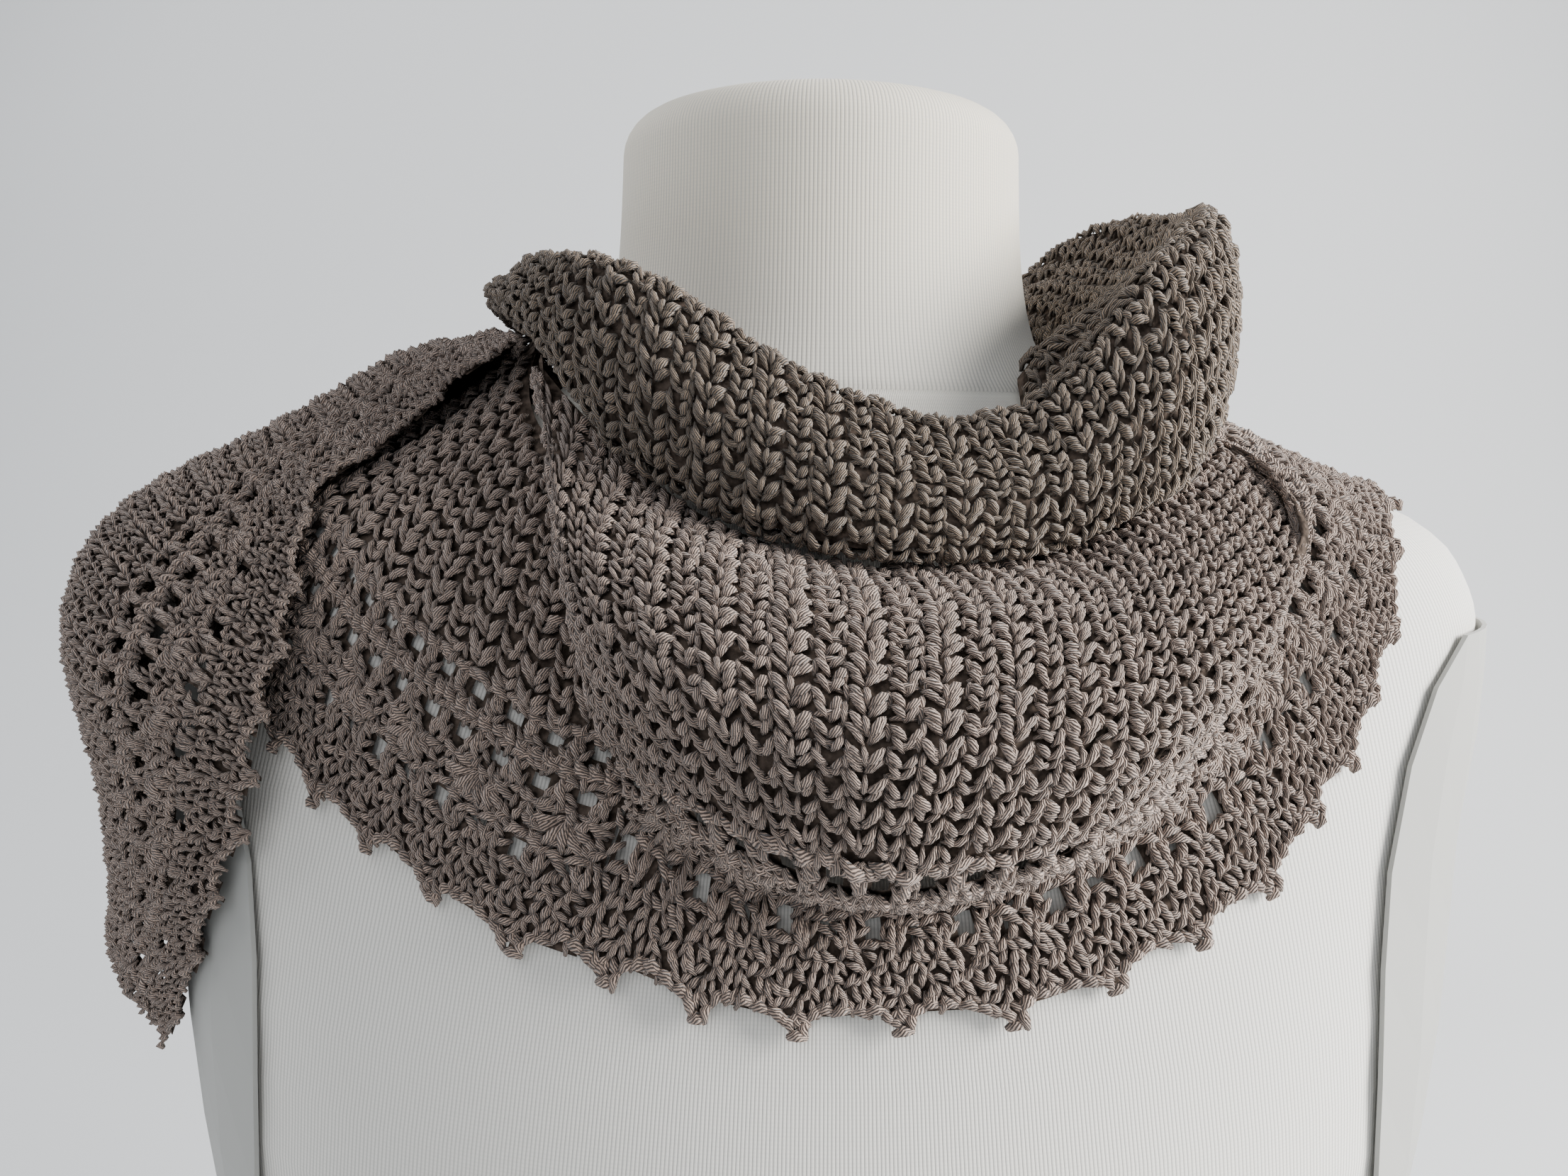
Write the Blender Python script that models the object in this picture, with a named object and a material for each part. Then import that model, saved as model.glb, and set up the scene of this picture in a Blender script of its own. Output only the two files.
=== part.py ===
"""A crocheted shawl wound twice about the neck of a limbless dress form.

Millimetres inside this file, metres in the meshes. The origin lies in the middle of the
form's flat base, straight under the neck. X runs to the viewer's right, Y away from the
viewer and Z up. An azimuth of 0 degrees faces the viewer (-Y) and 90 is the viewer's right.
"""
import math

import bpy
import numpy as np

MM = 0.001

# Dress form
FORM_TOP = 640.0        # flat top of the neck
FORM_CAP_ROUND = 11.0   # rounding of the edge of the neck cap
FORM_BASE_ROUND = 4.0   # rounding of the lower edge
FORM_COLUMNS = 36
PLATE_LIFT = 1.8        # the side plates lie on the form
PLATE_THICK = 1.2
PLATE_HEIGHTS = (262.0, 504.0)      # lower and upper end of the plates
PLATE_AZIMUTHS = (59.0, 110.0)      # front and rear edge where they are widest
PLATE_END = 0.22                    # width of their ends, as part of the whole

# Cloth
CLOTH = 2.6             # thickness of the crocheted wall
SEAM = 0.3              # parting between two pieces that meet
SEAM_STATION = 0.03     # the same parting, in stations of the wrap
BODY_SEAM = 0.014       # the same parting, as part of the way from the top to the eyelets
BODY_LAST = 0.9         # a place in the body just above the eyelets
HIDDEN_BODY = 1.7       # width of the hidden stretch, counted in widths of its body
REST = 1.4              # clearance between the form and the cloth that rests on it
WRAP_REST = 2.0         # the same under the wrap, which spans the bend of the shoulders
RIB = 0.9               # height of the raised ridges of the ribbed stitch
ROW_PAIR = 14.4         # two rows of stitches, from one ridge to the next
REPEAT = 22.0           # one shell of the lace border with its picot, where out of sight
LACE = 52.0             # width of the lace border, picots included
PICOT = 4.0             # length of a picot

# Horizontal sections of the form: height, half width, depth to the front and to the back
FORM_SECTIONS = (
    # z      side   front  back
    (0.0,    170.0, 106.0, 112.0),
    (60.0,   170.0, 105.0, 118.0),
    (130.0,  154.0,  96.0, 106.0),
    (205.0,  142.0,  90.0,  94.0),
    (270.0,  158.0, 102.0,  99.0),
    (325.0,  180.0, 122.0, 104.0),
    (360.0,  183.0, 128.0, 107.0),
    (391.0,  186.5, 124.0, 108.0),
    (443.0,  191.0, 110.0, 107.0),
    (468.0,  195.0, 101.0, 103.0),
    (498.0,  197.0,  89.0,  96.0),
    (517.0,  190.0,  81.0,  91.0),
    (529.0,  175.0,  76.0,  87.0),
    (537.0,  152.0,  72.5,  83.0),
    (547.0,  118.0,  68.5,  78.0),
    (556.0,   91.0,  65.0,  73.0),
    (566.0,   72.0,  61.5,  67.0),
    (580.0,   62.5,  58.5,  61.0),
    (602.0,   58.5,  57.0,  58.0),
    (640.0,   56.5,  56.0,  56.0),
)

FORM_RINGS = (0, 4, 60, 130, 205, 270, 300, 325, 360, 391, 420, 443, 468, 486, 498, 509, 517, 524,
              530, 536, 542, 549, 556, 566, 580, 602)

# Neck roll, a band folded over on itself: the fold at its top and its lower outer edge
ROLL_SECTIONS = (
    # azimuth  top_r  top_z  low_r  low_z
    (-180.0,    92.0, 578.0, 102.0, 549.0),
    (-150.0,    88.0, 583.0,  99.0, 554.0),
    (-120.0,    86.0, 592.0,  97.0, 568.0),
    (-95.0,     85.0, 597.0,  95.0, 581.0),
    (-75.0,     85.0, 598.0,  94.5, 583.0),
    (-58.0,     86.0, 597.0,  94.0, 577.0),
    (-45.0,     87.0, 595.0,  94.0, 564.0),
    (-34.0,     87.0, 592.0,  94.0, 547.0),
    (-24.0,     86.0, 585.0,  95.0, 538.5),
    (-10.0,     84.0, 572.0,  98.0, 529.5),
    (5.0,       84.5, 561.0, 101.0, 524.0),
    (19.0,      87.0, 555.5, 103.0, 523.0),
    (30.0,      91.0, 558.5, 106.0, 525.0),
    (40.0,      96.0, 571.5, 110.0, 531.0),
    (50.0,     102.0, 592.0, 114.0, 538.0),
    (64.0,     106.0, 607.0, 115.0, 550.0),
    (80.0,     109.0, 615.0, 116.0, 560.0),
    (100.0,    114.0, 620.0, 118.0, 567.0),
    (118.0,    117.0, 624.0, 121.0, 563.0),
    (130.0,    115.0, 618.0, 120.0, 556.0),
    (140.0,    109.0, 600.0, 117.0, 551.0),
    (155.0,    100.0, 585.0, 111.0, 549.0),
)

ROLL_SEAMS = (-128.0, 96.0)     # azimuths where the front and the back stretch meet

# Front drape: each station from the fold at the viewer's left to the right shoulder gives
# azimuth, radius and height on four lines, from under the roll down to the first eyelets
DRAPE_TOP = ((-57, 88, 571), (-36, 84, 548.5), (-15, 86, 531.5), (8, 89, 523),
             (30, 93.5, 524.6), (48, 102, 537), (70, 107, 553.5))
DRAPE_CROWN = ((-43, 99, 550), (-29, 111, 532), (-12, 117, 523), (8, 119, 515.5), (28, 120, 517.5),
               (46, 121, 527), (68, 120, 545))
DRAPE_BELLY = ((-27, 121, 508), (-19, 132, 500), (-8, 141, 494), (6, 147, 490), (22, 146, 491),
               (41, 140, 500), (62, 136, 527))
DRAPE_EYELET = ((-21, 125, 482), (-15, 131, 480), (-6, 139, 475), (5, 142, 469), (20, 140, 471),
                (38, 135, 486), (54, 131, 513))
DRAPE_HEM = (-26, -18, -7, 7, 27, 45, 58)   # azimuths in which the stations reach the hem
FOLD_RADIUS = (3.5, 7.0, 10.0, 7.5)         # of the drape's left edge, on the same four lines
FOLD_PLACES = (0.0, 0.36, 0.76, 1.0)        # where those lines lie, from the top to the eyelets
FOLD_TURNS = (150, 110, 70, 35)             # degrees by which that edge turns under

# Hem: azimuth and height of the picots seen in front, and of the hem where nothing is seen
HEM_LEFT = ((-104, 512), (-90, 514), (-78, 502), (-69, 486))
PICOTS = ((-61.4, 472.4), (-56.4, 462.2), (-50, 453.2), (-42.8, 444.3), (-33.6, 435.2),
          (-22.4, 429.7), (-12.7, 424.3), (-2.2, 421.7), (8.7, 423), (20.3, 423.1),
          (31.2, 429), (40.2, 435.9), (49.1, 445.3), (55.1, 460.1), (60.1, 471),
          (63.7, 485.1), (67.9, 500.8), (72.5, 520))
HEM_BACK = ((79, 529.5), (86, 533), (92, 533), (104, 526), (118, 508), (140, 478), (165, 458), (180, 452),
            (205, 455), (230, 472), (256, 512))
HEM = HEM_LEFT + PICOTS + HEM_BACK

# Crease in which the front lace turns outward: azimuth and height
CREASE = ((-30, 468), (-20, 462), (-11, 454.5), (-1, 449), (10, 447.5), (22, 451), (31, 456.5),
          (40, 465.5), (47, 474.5), (53, 488), (57, 500), (62, 517), (72, 538))

# Climb of the left shoulder's cloth towards the neck: height, middle azimuth and spread
NECK_LIFT, NECK_LIFT_AZIMUTH, NECK_LIFT_SPREAD = 13.0, -81.0, 25.0
NECK_LIFT_END = 0.7     # part of the way to the eyelets at which the climb has died out

WRAP_FADE = 1.6     # stations over which the wrap loses the drape's fullness

# The wrap lies on the form from the drape's right end, round the back, to under the flap:
# azimuths at its top, at its eyelets and at its hem, and the height of its top
WRAP = ((6, 70, 54, 58, 551), (7, 84, 69, 71, 557), (8, 100, 94, 94, 559), (9, 120, 119, 119, 560),
        (10, 150, 150, 150, 557), (11, 180, 180, 180, 556), (12, 210, 210, 210, 557),
        (13, 240, 240, 240, 560), (14, 262, 262, 262, 561), (15, 282, 282, 282, 564),
        (16, 304, 304, 304, 551), (17, 324, 326.5, 324, 537), (18, 350, 355, 350, 512))

# Lace border: rows from the body outward, as parts of the way to the crease and past it
LACE_ROWS = (
    # name       reach  open
    ("edge",      0.04, False),
    ("eyelets",   0.08, True),
    ("band",      0.27, False),
    ("arches",    0.45, True),
    ("shells",    0.70, False),
    ("spaces",    1.06, True),
    ("fans",      1.27, False),
)
LACE_COLUMNS = (0.0, 0.27, 0.50, 0.77)      # gap, post, gap, post in each repeat
SCALLOP = (6.5, 1.5, 1.5, 6.5)              # depth of the scallop at those four places
PICOT_PLACE = 0.385                         # of the picot in its repeat
FIRST_PICOT = -7                            # repeat in which the first seen picot hangs
FRONT_FIRST, FRONT_REPEATS = -2, 9          # repeats of the border on each stretch
RIGHT_REPEATS = 6
BACK_REPEATS = 19
LEFT_FIRST, LEFT_REPEATS = -8, 6
LEFT_UNDER = 1.35                           # repeats of the left front under the drape

# Left flap, the end of the shawl that hangs over the viewer's left shoulder
FLAP = (
    # front edge          side at -90    back edge
    # azimuth, r, z       r, z           azimuth, r, z
    (-60,  91, 576,        94, 580,      -128,  87, 563),
    (-65, 105, 566,       120, 575,      -126, 102, 556),
    (-67, 119, 552,       142, 563,      -124, 120, 546),
    (-65, 142, 535,       164, 551,      -122, 138, 531),
    (-61, 147, 517,       187, 541,      -120, 152, 514),
    (-59, 151, 501,       206, 530,      -118, 163, 492),
    (-58, 157, 484,       219, 515,      -117, 169, 468),
    (-57, 161, 468,       224, 495,      -116, 172, 445),
    (-60, 164, 450,       221, 470,      -115, 175, 420),
    (-63, 171, 430,       217, 445,      -114, 177, 395),
    (-67, 176, 410,       217, 420,      -113, 179, 370),
    (-75, 188, 380,       221, 394,      -112, 183, 348),
)
FLAP_SIDE = 0.45        # part of the flap's width that lies before the side
FLAP_WIDTH = 235.0      # mean width of the flap
FLAP_LACE = 0.21        # part of that width in the border
FLAP_REPEATS = 12


def columns(rows):
    """The columns of a short table, as arrays."""
    return np.array(rows, dtype=float).T


def curve(x, xs, ys):
    """A smooth curve through a short table that never overshoots its rows."""
    x = np.clip(np.asarray(x, dtype=float), xs[0], xs[-1])
    step = np.diff(xs)
    rise = np.diff(ys) / step
    slope = np.concatenate(([rise[0]], np.zeros(len(xs) - 2), [rise[-1]]))
    for i in range(1, len(xs) - 1):
        if rise[i - 1] * rise[i] > 0:
            before = 2 * step[i] + step[i - 1]
            after = step[i] + 2 * step[i - 1]
            slope[i] = (before + after) / (before / rise[i - 1] + after / rise[i])
    i = np.clip(np.searchsorted(xs, x, side="right") - 1, 0, len(xs) - 2)
    t = (x - xs[i]) / step[i]
    return (ys[i] * (1 + 2 * t) * (1 - t) ** 2 + step[i] * slope[i] * t * (1 - t) ** 2
            + ys[i + 1] * t * t * (3 - 2 * t) + step[i] * slope[i + 1] * t * t * (t - 1))


def polar(azimuth, radius, height):
    """A point at an azimuth in degrees, a radius and a height."""
    angle = np.radians(azimuth)
    return np.stack(np.broadcast_arrays(radius * np.sin(angle), -radius * np.cos(angle),
                                        height), axis=-1)


def form_radius(azimuth, height):
    """Radius of the dress form: half an ellipse in front and another behind."""
    heights, side, front, back = columns(FORM_SECTIONS)
    angle = np.radians(azimuth)
    across = np.sin(angle) / curve(height, heights, side)
    depth = np.where(np.cos(angle) > 0, curve(height, heights, front),
                     curve(height, heights, back))
    return 1.0 / np.hypot(across, np.cos(angle) / depth)


PROFILE_HEIGHTS = np.arange(604.0, 240.0, -2.0)
PROFILES = {}


def profile(azimuth):
    """The form from the neck down at one azimuth: radii, and lengths along the surface."""
    key = round(float(azimuth), 3)
    if key not in PROFILES:
        radii = form_radius(key, PROFILE_HEIGHTS)
        runs = np.hypot(np.diff(radii), np.diff(PROFILE_HEIGHTS))
        PROFILES[key] = (radii, np.concatenate(([0.0], np.cumsum(runs))))
    return PROFILES[key]


def length_at(azimuth, height):
    """Length along the form's surface from the neck down to a height."""
    radii, lengths = profile(azimuth)
    return np.interp(-height, -PROFILE_HEIGHTS, lengths)


def on_form(azimuth, length, lift):
    """A point at a length down the form's surface, lifted off it."""
    radii, lengths = profile(azimuth)

    def at(distance):
        return (np.interp(distance, lengths, radii),
                np.interp(distance, lengths, PROFILE_HEIGHTS))

    radius, height = at(length)
    above, below = at(length - 2.0), at(length + 2.0)
    run, drop = below[0] - above[0], above[1] - below[1]
    size = math.hypot(run, drop)
    return polar(azimuth, radius + lift * drop / size, height + lift * run / size)


def along(points, amount):
    """A point part of the way along a smooth curve through a few points."""
    points = np.asarray(points, dtype=float)
    gaps = np.linalg.norm(np.diff(points, axis=0), axis=1)
    places = np.concatenate(([0.0], np.cumsum(gaps))) / gaps.sum()
    return np.array([curve(amount, places, points[:, axis]) for axis in range(3)]).T


def material(name, colour, roughness):
    """A plain finish for one sub-part."""
    made = bpy.data.materials.new(name)
    made.use_nodes = True
    shader = made.node_tree.nodes["Principled BSDF"]
    shader.inputs["Base Color"].default_value = (*colour, 1.0)
    shader.inputs["Roughness"].default_value = roughness
    return made


def add_object(name, vertices, faces, finish):
    """One named object from points in millimetres."""
    mesh = bpy.data.meshes.new(name)
    mesh.from_pydata([tuple(point * MM) for point in np.asarray(vertices)], [], faces)
    mesh.validate()
    mesh.update()
    mesh.materials.append(finish)
    mesh.shade_smooth()
    mesh.set_sharp_from_angle(angle=math.radians(50))
    thing = bpy.data.objects.new(name, mesh)
    bpy.context.collection.objects.link(thing)
    return thing


def grid_normals(points, above=None, below=None):
    """Outward normals of a grid of points whose rows run down and columns to the right.

    A row of the piece that joins on above or below makes the two walls meet in a mitre.
    """
    padded = points
    if above is not None:
        padded = np.concatenate((np.array(above)[None], padded))
    if below is not None:
        padded = np.concatenate((padded, np.array(below)[None]))
    first = 0 if above is None else 1
    down = np.gradient(padded, axis=0)[first:first + len(points)]
    normals = np.cross(down, np.gradient(points, axis=1))
    return normals / np.linalg.norm(normals, axis=2, keepdims=True)


def wall(name, inner, outer, finish, cut=()):
    """A closed wall between two grids of points.

    Cells listed in cut are left open, and every open side gets its own edge strip.
    """
    rows, cols = inner.shape[:2]
    cut = set(cut)
    cells = [(i, j) for i in range(rows - 1) for j in range(cols - 1) if (i, j) not in cut]
    kept = set(cells)
    numbers = {}
    vertices = []

    def corner(i, j, side):
        key = (i, j, side)
        if key not in numbers:
            numbers[key] = len(vertices)
            vertices.append((outer if side else inner)[i, j])
        return numbers[key]

    faces = []
    for i, j in cells:
        corners = ((i, j), (i + 1, j), (i + 1, j + 1), (i, j + 1))
        faces.append([corner(a, b, 1) for a, b in corners])
        faces.append([corner(a, b, 0) for a, b in reversed(corners)])
        beside = ((i, j - 1), (i + 1, j), (i, j + 1), (i - 1, j))
        for k, beyond in enumerate(beside):
            if beyond in kept:
                continue
            start, end = corners[k], corners[(k + 1) % 4]
            faces.append([corner(*start, 0), corner(*end, 0), corner(*end, 1),
                          corner(*start, 1)])
    return add_object(name, vertices, faces, finish)


def cloth(name, face, finish, cut=(), ridges=None, above=None, below=None):
    """A cloth wall behind the face that shows; ridges stand out from it, the inside is plain."""
    normals = grid_normals(face, above, below)
    outer = face if ridges is None else face + normals * ridges[..., None]
    return wall(name, face - normals * CLOTH, outer, finish, cut)


def ribs(count, rows):
    """Heights of the ridges, one on every other column."""
    return np.broadcast_to(np.where(np.arange(count) % 2 == 1, RIB, 0.0), (rows, count))


def dress_form(finish):
    """The torso, from its flat base to the rounded cap of the neck."""
    azimuths = np.linspace(-180, 180, FORM_COLUMNS, endpoint=False)
    rings = []
    for height in FORM_RINGS:
        inset = FORM_BASE_ROUND if height == 0 else 0.0
        rings.append(polar(azimuths, form_radius(azimuths, height) - inset, height))
    edge = FORM_TOP - FORM_CAP_ROUND
    for turn in np.radians((0, 40, 90)):
        inset = FORM_CAP_ROUND * (1 - math.cos(turn))
        rise = edge + FORM_CAP_ROUND * math.sin(turn)
        rings.append(polar(azimuths, form_radius(azimuths, rise) - inset, rise))
    vertices = np.concatenate(rings)
    count = FORM_COLUMNS
    faces = [list(range(count))[::-1]]
    for ring in range(len(rings) - 1):
        for j in range(count):
            k = (j + 1) % count
            faces.append([ring * count + j, ring * count + k, (ring + 1) * count + k,
                          (ring + 1) * count + j])
    faces.append([(len(rings) - 1) * count + j for j in range(count)])
    return add_object("dress_form", vertices, faces, finish)


def side_plate(name, sign, finish):
    """A long oval plate on the flat side of the form, where an arm would start."""
    low, high = PLATE_HEIGHTS
    front, back = PLATE_AZIMUTHS
    rows = []
    for height in [height for height in reversed(FORM_RINGS) if low < height < high]:
        row = (2 * height - low - high) / (high - low)
        width = max(math.sqrt(1 - row * row), PLATE_END)
        turns = np.linspace(-1, 1, 8) * sign
        azimuths = sign * ((front + back) / 2 + (back - front) / 2 * width * turns)
        rows.append([on_form(azimuth, length_at(azimuth, height), PLATE_LIFT)
                     for azimuth in azimuths])
    inner = np.array(rows)
    return wall(name, inner, inner + grid_normals(inner) * PLATE_THICK, finish)


def roll_section(azimuth):
    """Points through the wall of the neck roll, from its foot inside to its tucked edge."""
    table = columns(ROLL_SECTIONS + tuple((row[0] + 360, *row[1:]) for row in ROLL_SECTIONS))
    turned = (azimuth + 180) % 360 - 180
    top_r, top_z, low_r, low_z = (curve(turned, table[0], table[k]) for k in range(1, 5))
    foot_height = min(566.0, top_z - 14.0)
    foot = on_form(azimuth, length_at(azimuth, foot_height), REST + CLOTH)
    foot_r, foot_z = math.hypot(foot[0], foot[1]), foot[2]
    fold = 5.0
    full = 3.5
    spine = [
        (foot_r, foot_z),
        (foot_r + 0.30 * (top_r - foot_r) - 1.0, foot_z + 0.45 * (top_z - foot_z)),
        (top_r - 2 * fold, top_z - 2.2 * fold),
        (top_r - fold, top_z - 0.5 * fold),
        (top_r, top_z),
        (top_r + fold, top_z - 1.1 * fold),
        (0.5 * (top_r + fold + low_r) + full, 0.5 * (top_z + low_z)),
        (low_r, low_z + 4.0),
        (low_r - 3.0, low_z),
        (low_r - 9.0, low_z + 1.0),
        (low_r - 16.0, low_z + 5.0),
    ]
    return [polar(azimuth, radius, height) for radius, height in spine]


def neck_roll(name, start, end, finish):
    """One stretch of the roll; its ribs run up and down."""
    count = int(round((end - start) * math.radians(1) * 100.0 / (ROW_PAIR / 2))) | 1
    azimuths = np.linspace(start, end, count + 1)
    steps = (0, 0.18, 0.34, 0.42, 0.50, 0.63, 0.77, 0.86, 1.0)
    outside = np.array([[along(roll_section(azimuth), step) for azimuth in azimuths]
                        for step in steps])
    return cloth(name, outside, finish, ridges=ribs(count + 1, len(steps)))


def drape_lines(station):
    """The four lines of the drape at a station."""
    places = np.arange(len(DRAPE_TOP), dtype=float)
    points = []
    for line in (DRAPE_TOP, DRAPE_CROWN, DRAPE_BELLY, DRAPE_EYELET):
        azimuth, radius, height = (curve(station, places, values) for values in columns(line))
        points.append(polar(azimuth, radius, height))
    return points


def drape_point(station, amount):
    """Outer face of the drape, from under the roll to the eyelets."""
    return along(drape_lines(station), amount)


def hem_height(azimuth):
    """Height of the hem where the cloth lies on the form."""
    turned = (azimuth - HEM[0][0]) % 360 + HEM[0][0]
    return curve(turned, *columns(HEM))


def hem_places():
    """Azimuths round the hem and the place of each, counted in repeats of the border."""
    azimuths = np.arange(HEM[0][0], HEM[0][0] + 361.0, 2.0)
    points = np.array([on_form(azimuth, length_at(azimuth, hem_height(azimuth)), REST)
                       for azimuth in azimuths])
    steps = np.linalg.norm(np.diff(points, axis=0), axis=1)
    places = np.concatenate(([0.0], np.cumsum(steps))) / REPEAT
    seen = columns(PICOTS)[0]
    first, last = np.interp(seen[[0, -1]], azimuths, places)
    numbers = FIRST_PICOT + PICOT_PLACE + np.arange(len(seen))
    places = np.where(azimuths < seen[0], places - first + numbers[0],
                      np.where(azimuths > seen[-1], places - last + numbers[-1],
                               np.interp(azimuths, seen, numbers)))
    return azimuths, places


def hem_azimuth(place):
    """Azimuth of a place on the hem."""
    azimuths, places = HEM_PLACES
    return float(np.interp(place, places, azimuths))


def crease_length(azimuth):
    """Length down the form at which the lifted lace comes down on it."""
    return length_at(azimuth, curve(azimuth, *columns(CREASE)))


def front_lace_point(station, reach, back):
    """Outer face of the front lace: 0 at the eyelets, 1 at the crease, 2 at the picots."""
    eyelet = drape_point(station, 1.0)
    before = drape_point(station, 0.93)
    start = math.degrees(math.atan2(eyelet[0], -eyelet[1]))
    end = station_hem(station)
    lift = REST + CLOTH
    if reach <= 1.0:
        azimuth = (start + end) / 2
        crease = on_form(azimuth, crease_length(azimuth), lift)
        lead = (eyelet - before) / np.linalg.norm(eyelet - before)
        handle = eyelet + lead * np.linalg.norm(crease - eyelet) * 0.35
        return ((1 - reach) ** 2 * eyelet + 2 * reach * (1 - reach) * handle
                + reach ** 2 * crease)
    azimuth = start + (end - start) * reach / 2
    crease = crease_length(azimuth)
    hem = length_at(azimuth, hem_height(azimuth))
    return on_form(azimuth, crease + (reach - 1.0) * (hem - crease) - back, lift)


def station_hem(station):
    """Azimuth in which a station of the drape reaches the hem."""
    azimuths = np.array(DRAPE_HEM, dtype=float)
    azimuths[0] = hem_azimuth(FRONT_FIRST)
    azimuths[-1] = hem_azimuth(FRONT_FIRST + FRONT_REPEATS)
    return float(curve(station, np.arange(len(azimuths), dtype=float), azimuths))


def station_of(place):
    """Station of the drape whose hem lies at a place."""
    stations = np.linspace(0, len(DRAPE_TOP) - 1, 121)
    azimuths = np.array([station_hem(station) for station in stations])
    return float(np.interp(hem_azimuth(place), azimuths, stations))


def wrap_table():
    """The rows of the wrap; its first hem azimuth is where the front lace ends."""
    table = columns(WRAP)
    table[3][0] = hem_azimuth(FRONT_FIRST + FRONT_REPEATS)
    return table


def wrap_row(station):
    """Azimuths at the top, eyelets and hem of the wrap, and the height of its top."""
    table = wrap_table()
    return [float(curve(station, table[0], table[k])) for k in range(1, 5)]


def neck_lift(azimuth, amount):
    """How far the left shoulder's cloth climbs off the form towards the neck."""
    turned = (azimuth + 180) % 360 - 180
    beside = max(0.0, 1.0 - ((turned - NECK_LIFT_AZIMUTH) / NECK_LIFT_SPREAD) ** 2)
    return NECK_LIFT * beside * max(0.0, 1.0 - amount / NECK_LIFT_END) ** 1.5


def wrap_fade(station):
    """How much of the drape's fullness is left at a station of the wrap."""
    amount = min(max((station - WRAP[0][0]) / WRAP_FADE, 0.0), 1.0)
    return 1.0 - amount * amount * (3 - 2 * amount)


def wrap_station(place):
    """Station of the wrap whose hem lies at a place."""
    table = wrap_table()
    stations = np.linspace(table[0][0], table[0][-1], 241)
    azimuths = curve(stations, table[0], table[3])
    azimuth = hem_azimuth(place)
    if azimuth < azimuths[0] - 1.0:
        azimuth += 360
    return float(np.interp(azimuth, azimuths, stations))


def wrap_body_flat(station, amount):
    """Outer face of the wrap as it lies on the form, from its top to its eyelets."""
    top_azimuth, eyelet_azimuth, _, top_height = wrap_row(station)
    azimuth = top_azimuth + (eyelet_azimuth - top_azimuth) * amount
    top = length_at(azimuth, top_height)
    eyelet = length_at(azimuth, hem_height(azimuth)) - LACE
    lift = WRAP_REST + CLOTH + neck_lift(azimuth, amount)
    return on_form(azimuth, top + (eyelet - top) * amount, lift)


def wrap_body_point(station, amount):
    """Outer face of the wrap, which leaves the drape smoothly."""
    point = wrap_body_flat(station, amount)
    fade = wrap_fade(station)
    if fade > 0:
        first = WRAP[0][0]
        point = point + fade * (drape_point(first, amount) - wrap_body_flat(first, amount))
    return point


def wrap_lace_flat(station, reach, back):
    """Outer face of the wrap's lace as it lies on the form."""
    _, start, end, _ = wrap_row(station)
    azimuth = start + (end - start) * reach / 2
    hem = length_at(azimuth, hem_height(azimuth))
    return on_form(azimuth, hem - LACE * (1 - reach / 2) - back, REST + CLOTH)


def wrap_lace_point(station, reach, back):
    """Outer face of the wrap's lace, which leaves the front lace smoothly."""
    point = wrap_lace_flat(station, reach, back)
    fade = wrap_fade(station)
    if fade > 0:
        first = WRAP[0][0]
        point = point + fade * (front_lace_point(first, reach, 0.0)
                                - wrap_lace_flat(first, reach, 0.0))
    return point


def fold_edge(point, right, out, radius, turn):
    """A point on the rounded left edge of the drape, which turns under."""
    return point - right * radius * math.sin(turn) - out * radius * (1 - math.cos(turn))


def front_drape(finish):
    """The large outer fold over the chest, with vertical ribs and a rounded left edge."""
    last = len(DRAPE_TOP) - 1
    amounts = np.linspace(0.0, 1.0 - BODY_SEAM, 10)
    fold_turns = np.radians(FOLD_TURNS)
    stations = np.linspace(0, last - SEAM_STATION, 31)
    rows = []
    for amount in amounts:
        line = [drape_point(station, amount) for station in stations]
        right = line[1] - line[0]
        right /= np.linalg.norm(right)
        down = drape_point(0, min(amount + 0.05, 1.0)) - drape_point(0, max(amount - 0.05, 0.0))
        out = np.cross(down, right)
        out /= np.linalg.norm(out)
        radius = float(curve(amount, np.array(FOLD_PLACES), np.array(FOLD_RADIUS)))
        edge = [fold_edge(line[0], right, out, radius, turn) for turn in fold_turns]
        rows.append(edge + line)
    face = np.array(rows)
    drop = face[-1] - face[-2]
    hem = [front_lace_point(station, LACE_ROWS[1][1], 0.0) for station in stations]
    below = np.concatenate((face[-1, :len(fold_turns)] + 0.2 * drop[:len(fold_turns)], hem))
    ridges = ribs(face.shape[1], len(face)).copy()
    ridges[0] = 0.0     # flat where it is tucked under the roll
    return cloth("front_drape", face, finish, ridges=ridges, below=below)


def lace(name, point_at, body_at, first, repeats, finish):
    """A lace border over a whole number of repeats, with its gaps and picots.

    point_at(place, reach, back) gives a point at a place counted in repeats, at a reach
    from 0 at the eyelets to 2 at the picots, drawn back by some millimetres. body_at(place)
    gives a point of the cloth that the border hangs from.
    """
    places = [first + repeat + part for repeat in range(repeats) for part in LACE_COLUMNS]
    places.append(first + repeats - SEAM / REPEAT)
    places[0] += SEAM / REPEAT
    depths = list(SCALLOP) * repeats + [SCALLOP[0]]
    rows = [[point_at(place, reach, 0.0) for place in places] for _, reach, _ in LACE_ROWS]
    rows.append([point_at(place, 2.0, PICOT + depth) for place, depth in zip(places, depths)])
    rows.append([point_at(place, 2.0, depth) for place, depth in zip(places, depths)])
    spans = len(places) - 1
    cut = []
    for i, (row, _, is_open) in enumerate(LACE_ROWS):
        if is_open:
            cut += [(i, j) for j in range(0, spans, 4 if row == "spaces" else 2)]
    cut += [(len(LACE_ROWS), j) for j in range(spans) if j % 4 != 1]
    above = [body_at(place) for place in places]
    return cloth(name, np.array(rows), finish, cut, above=above)


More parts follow.
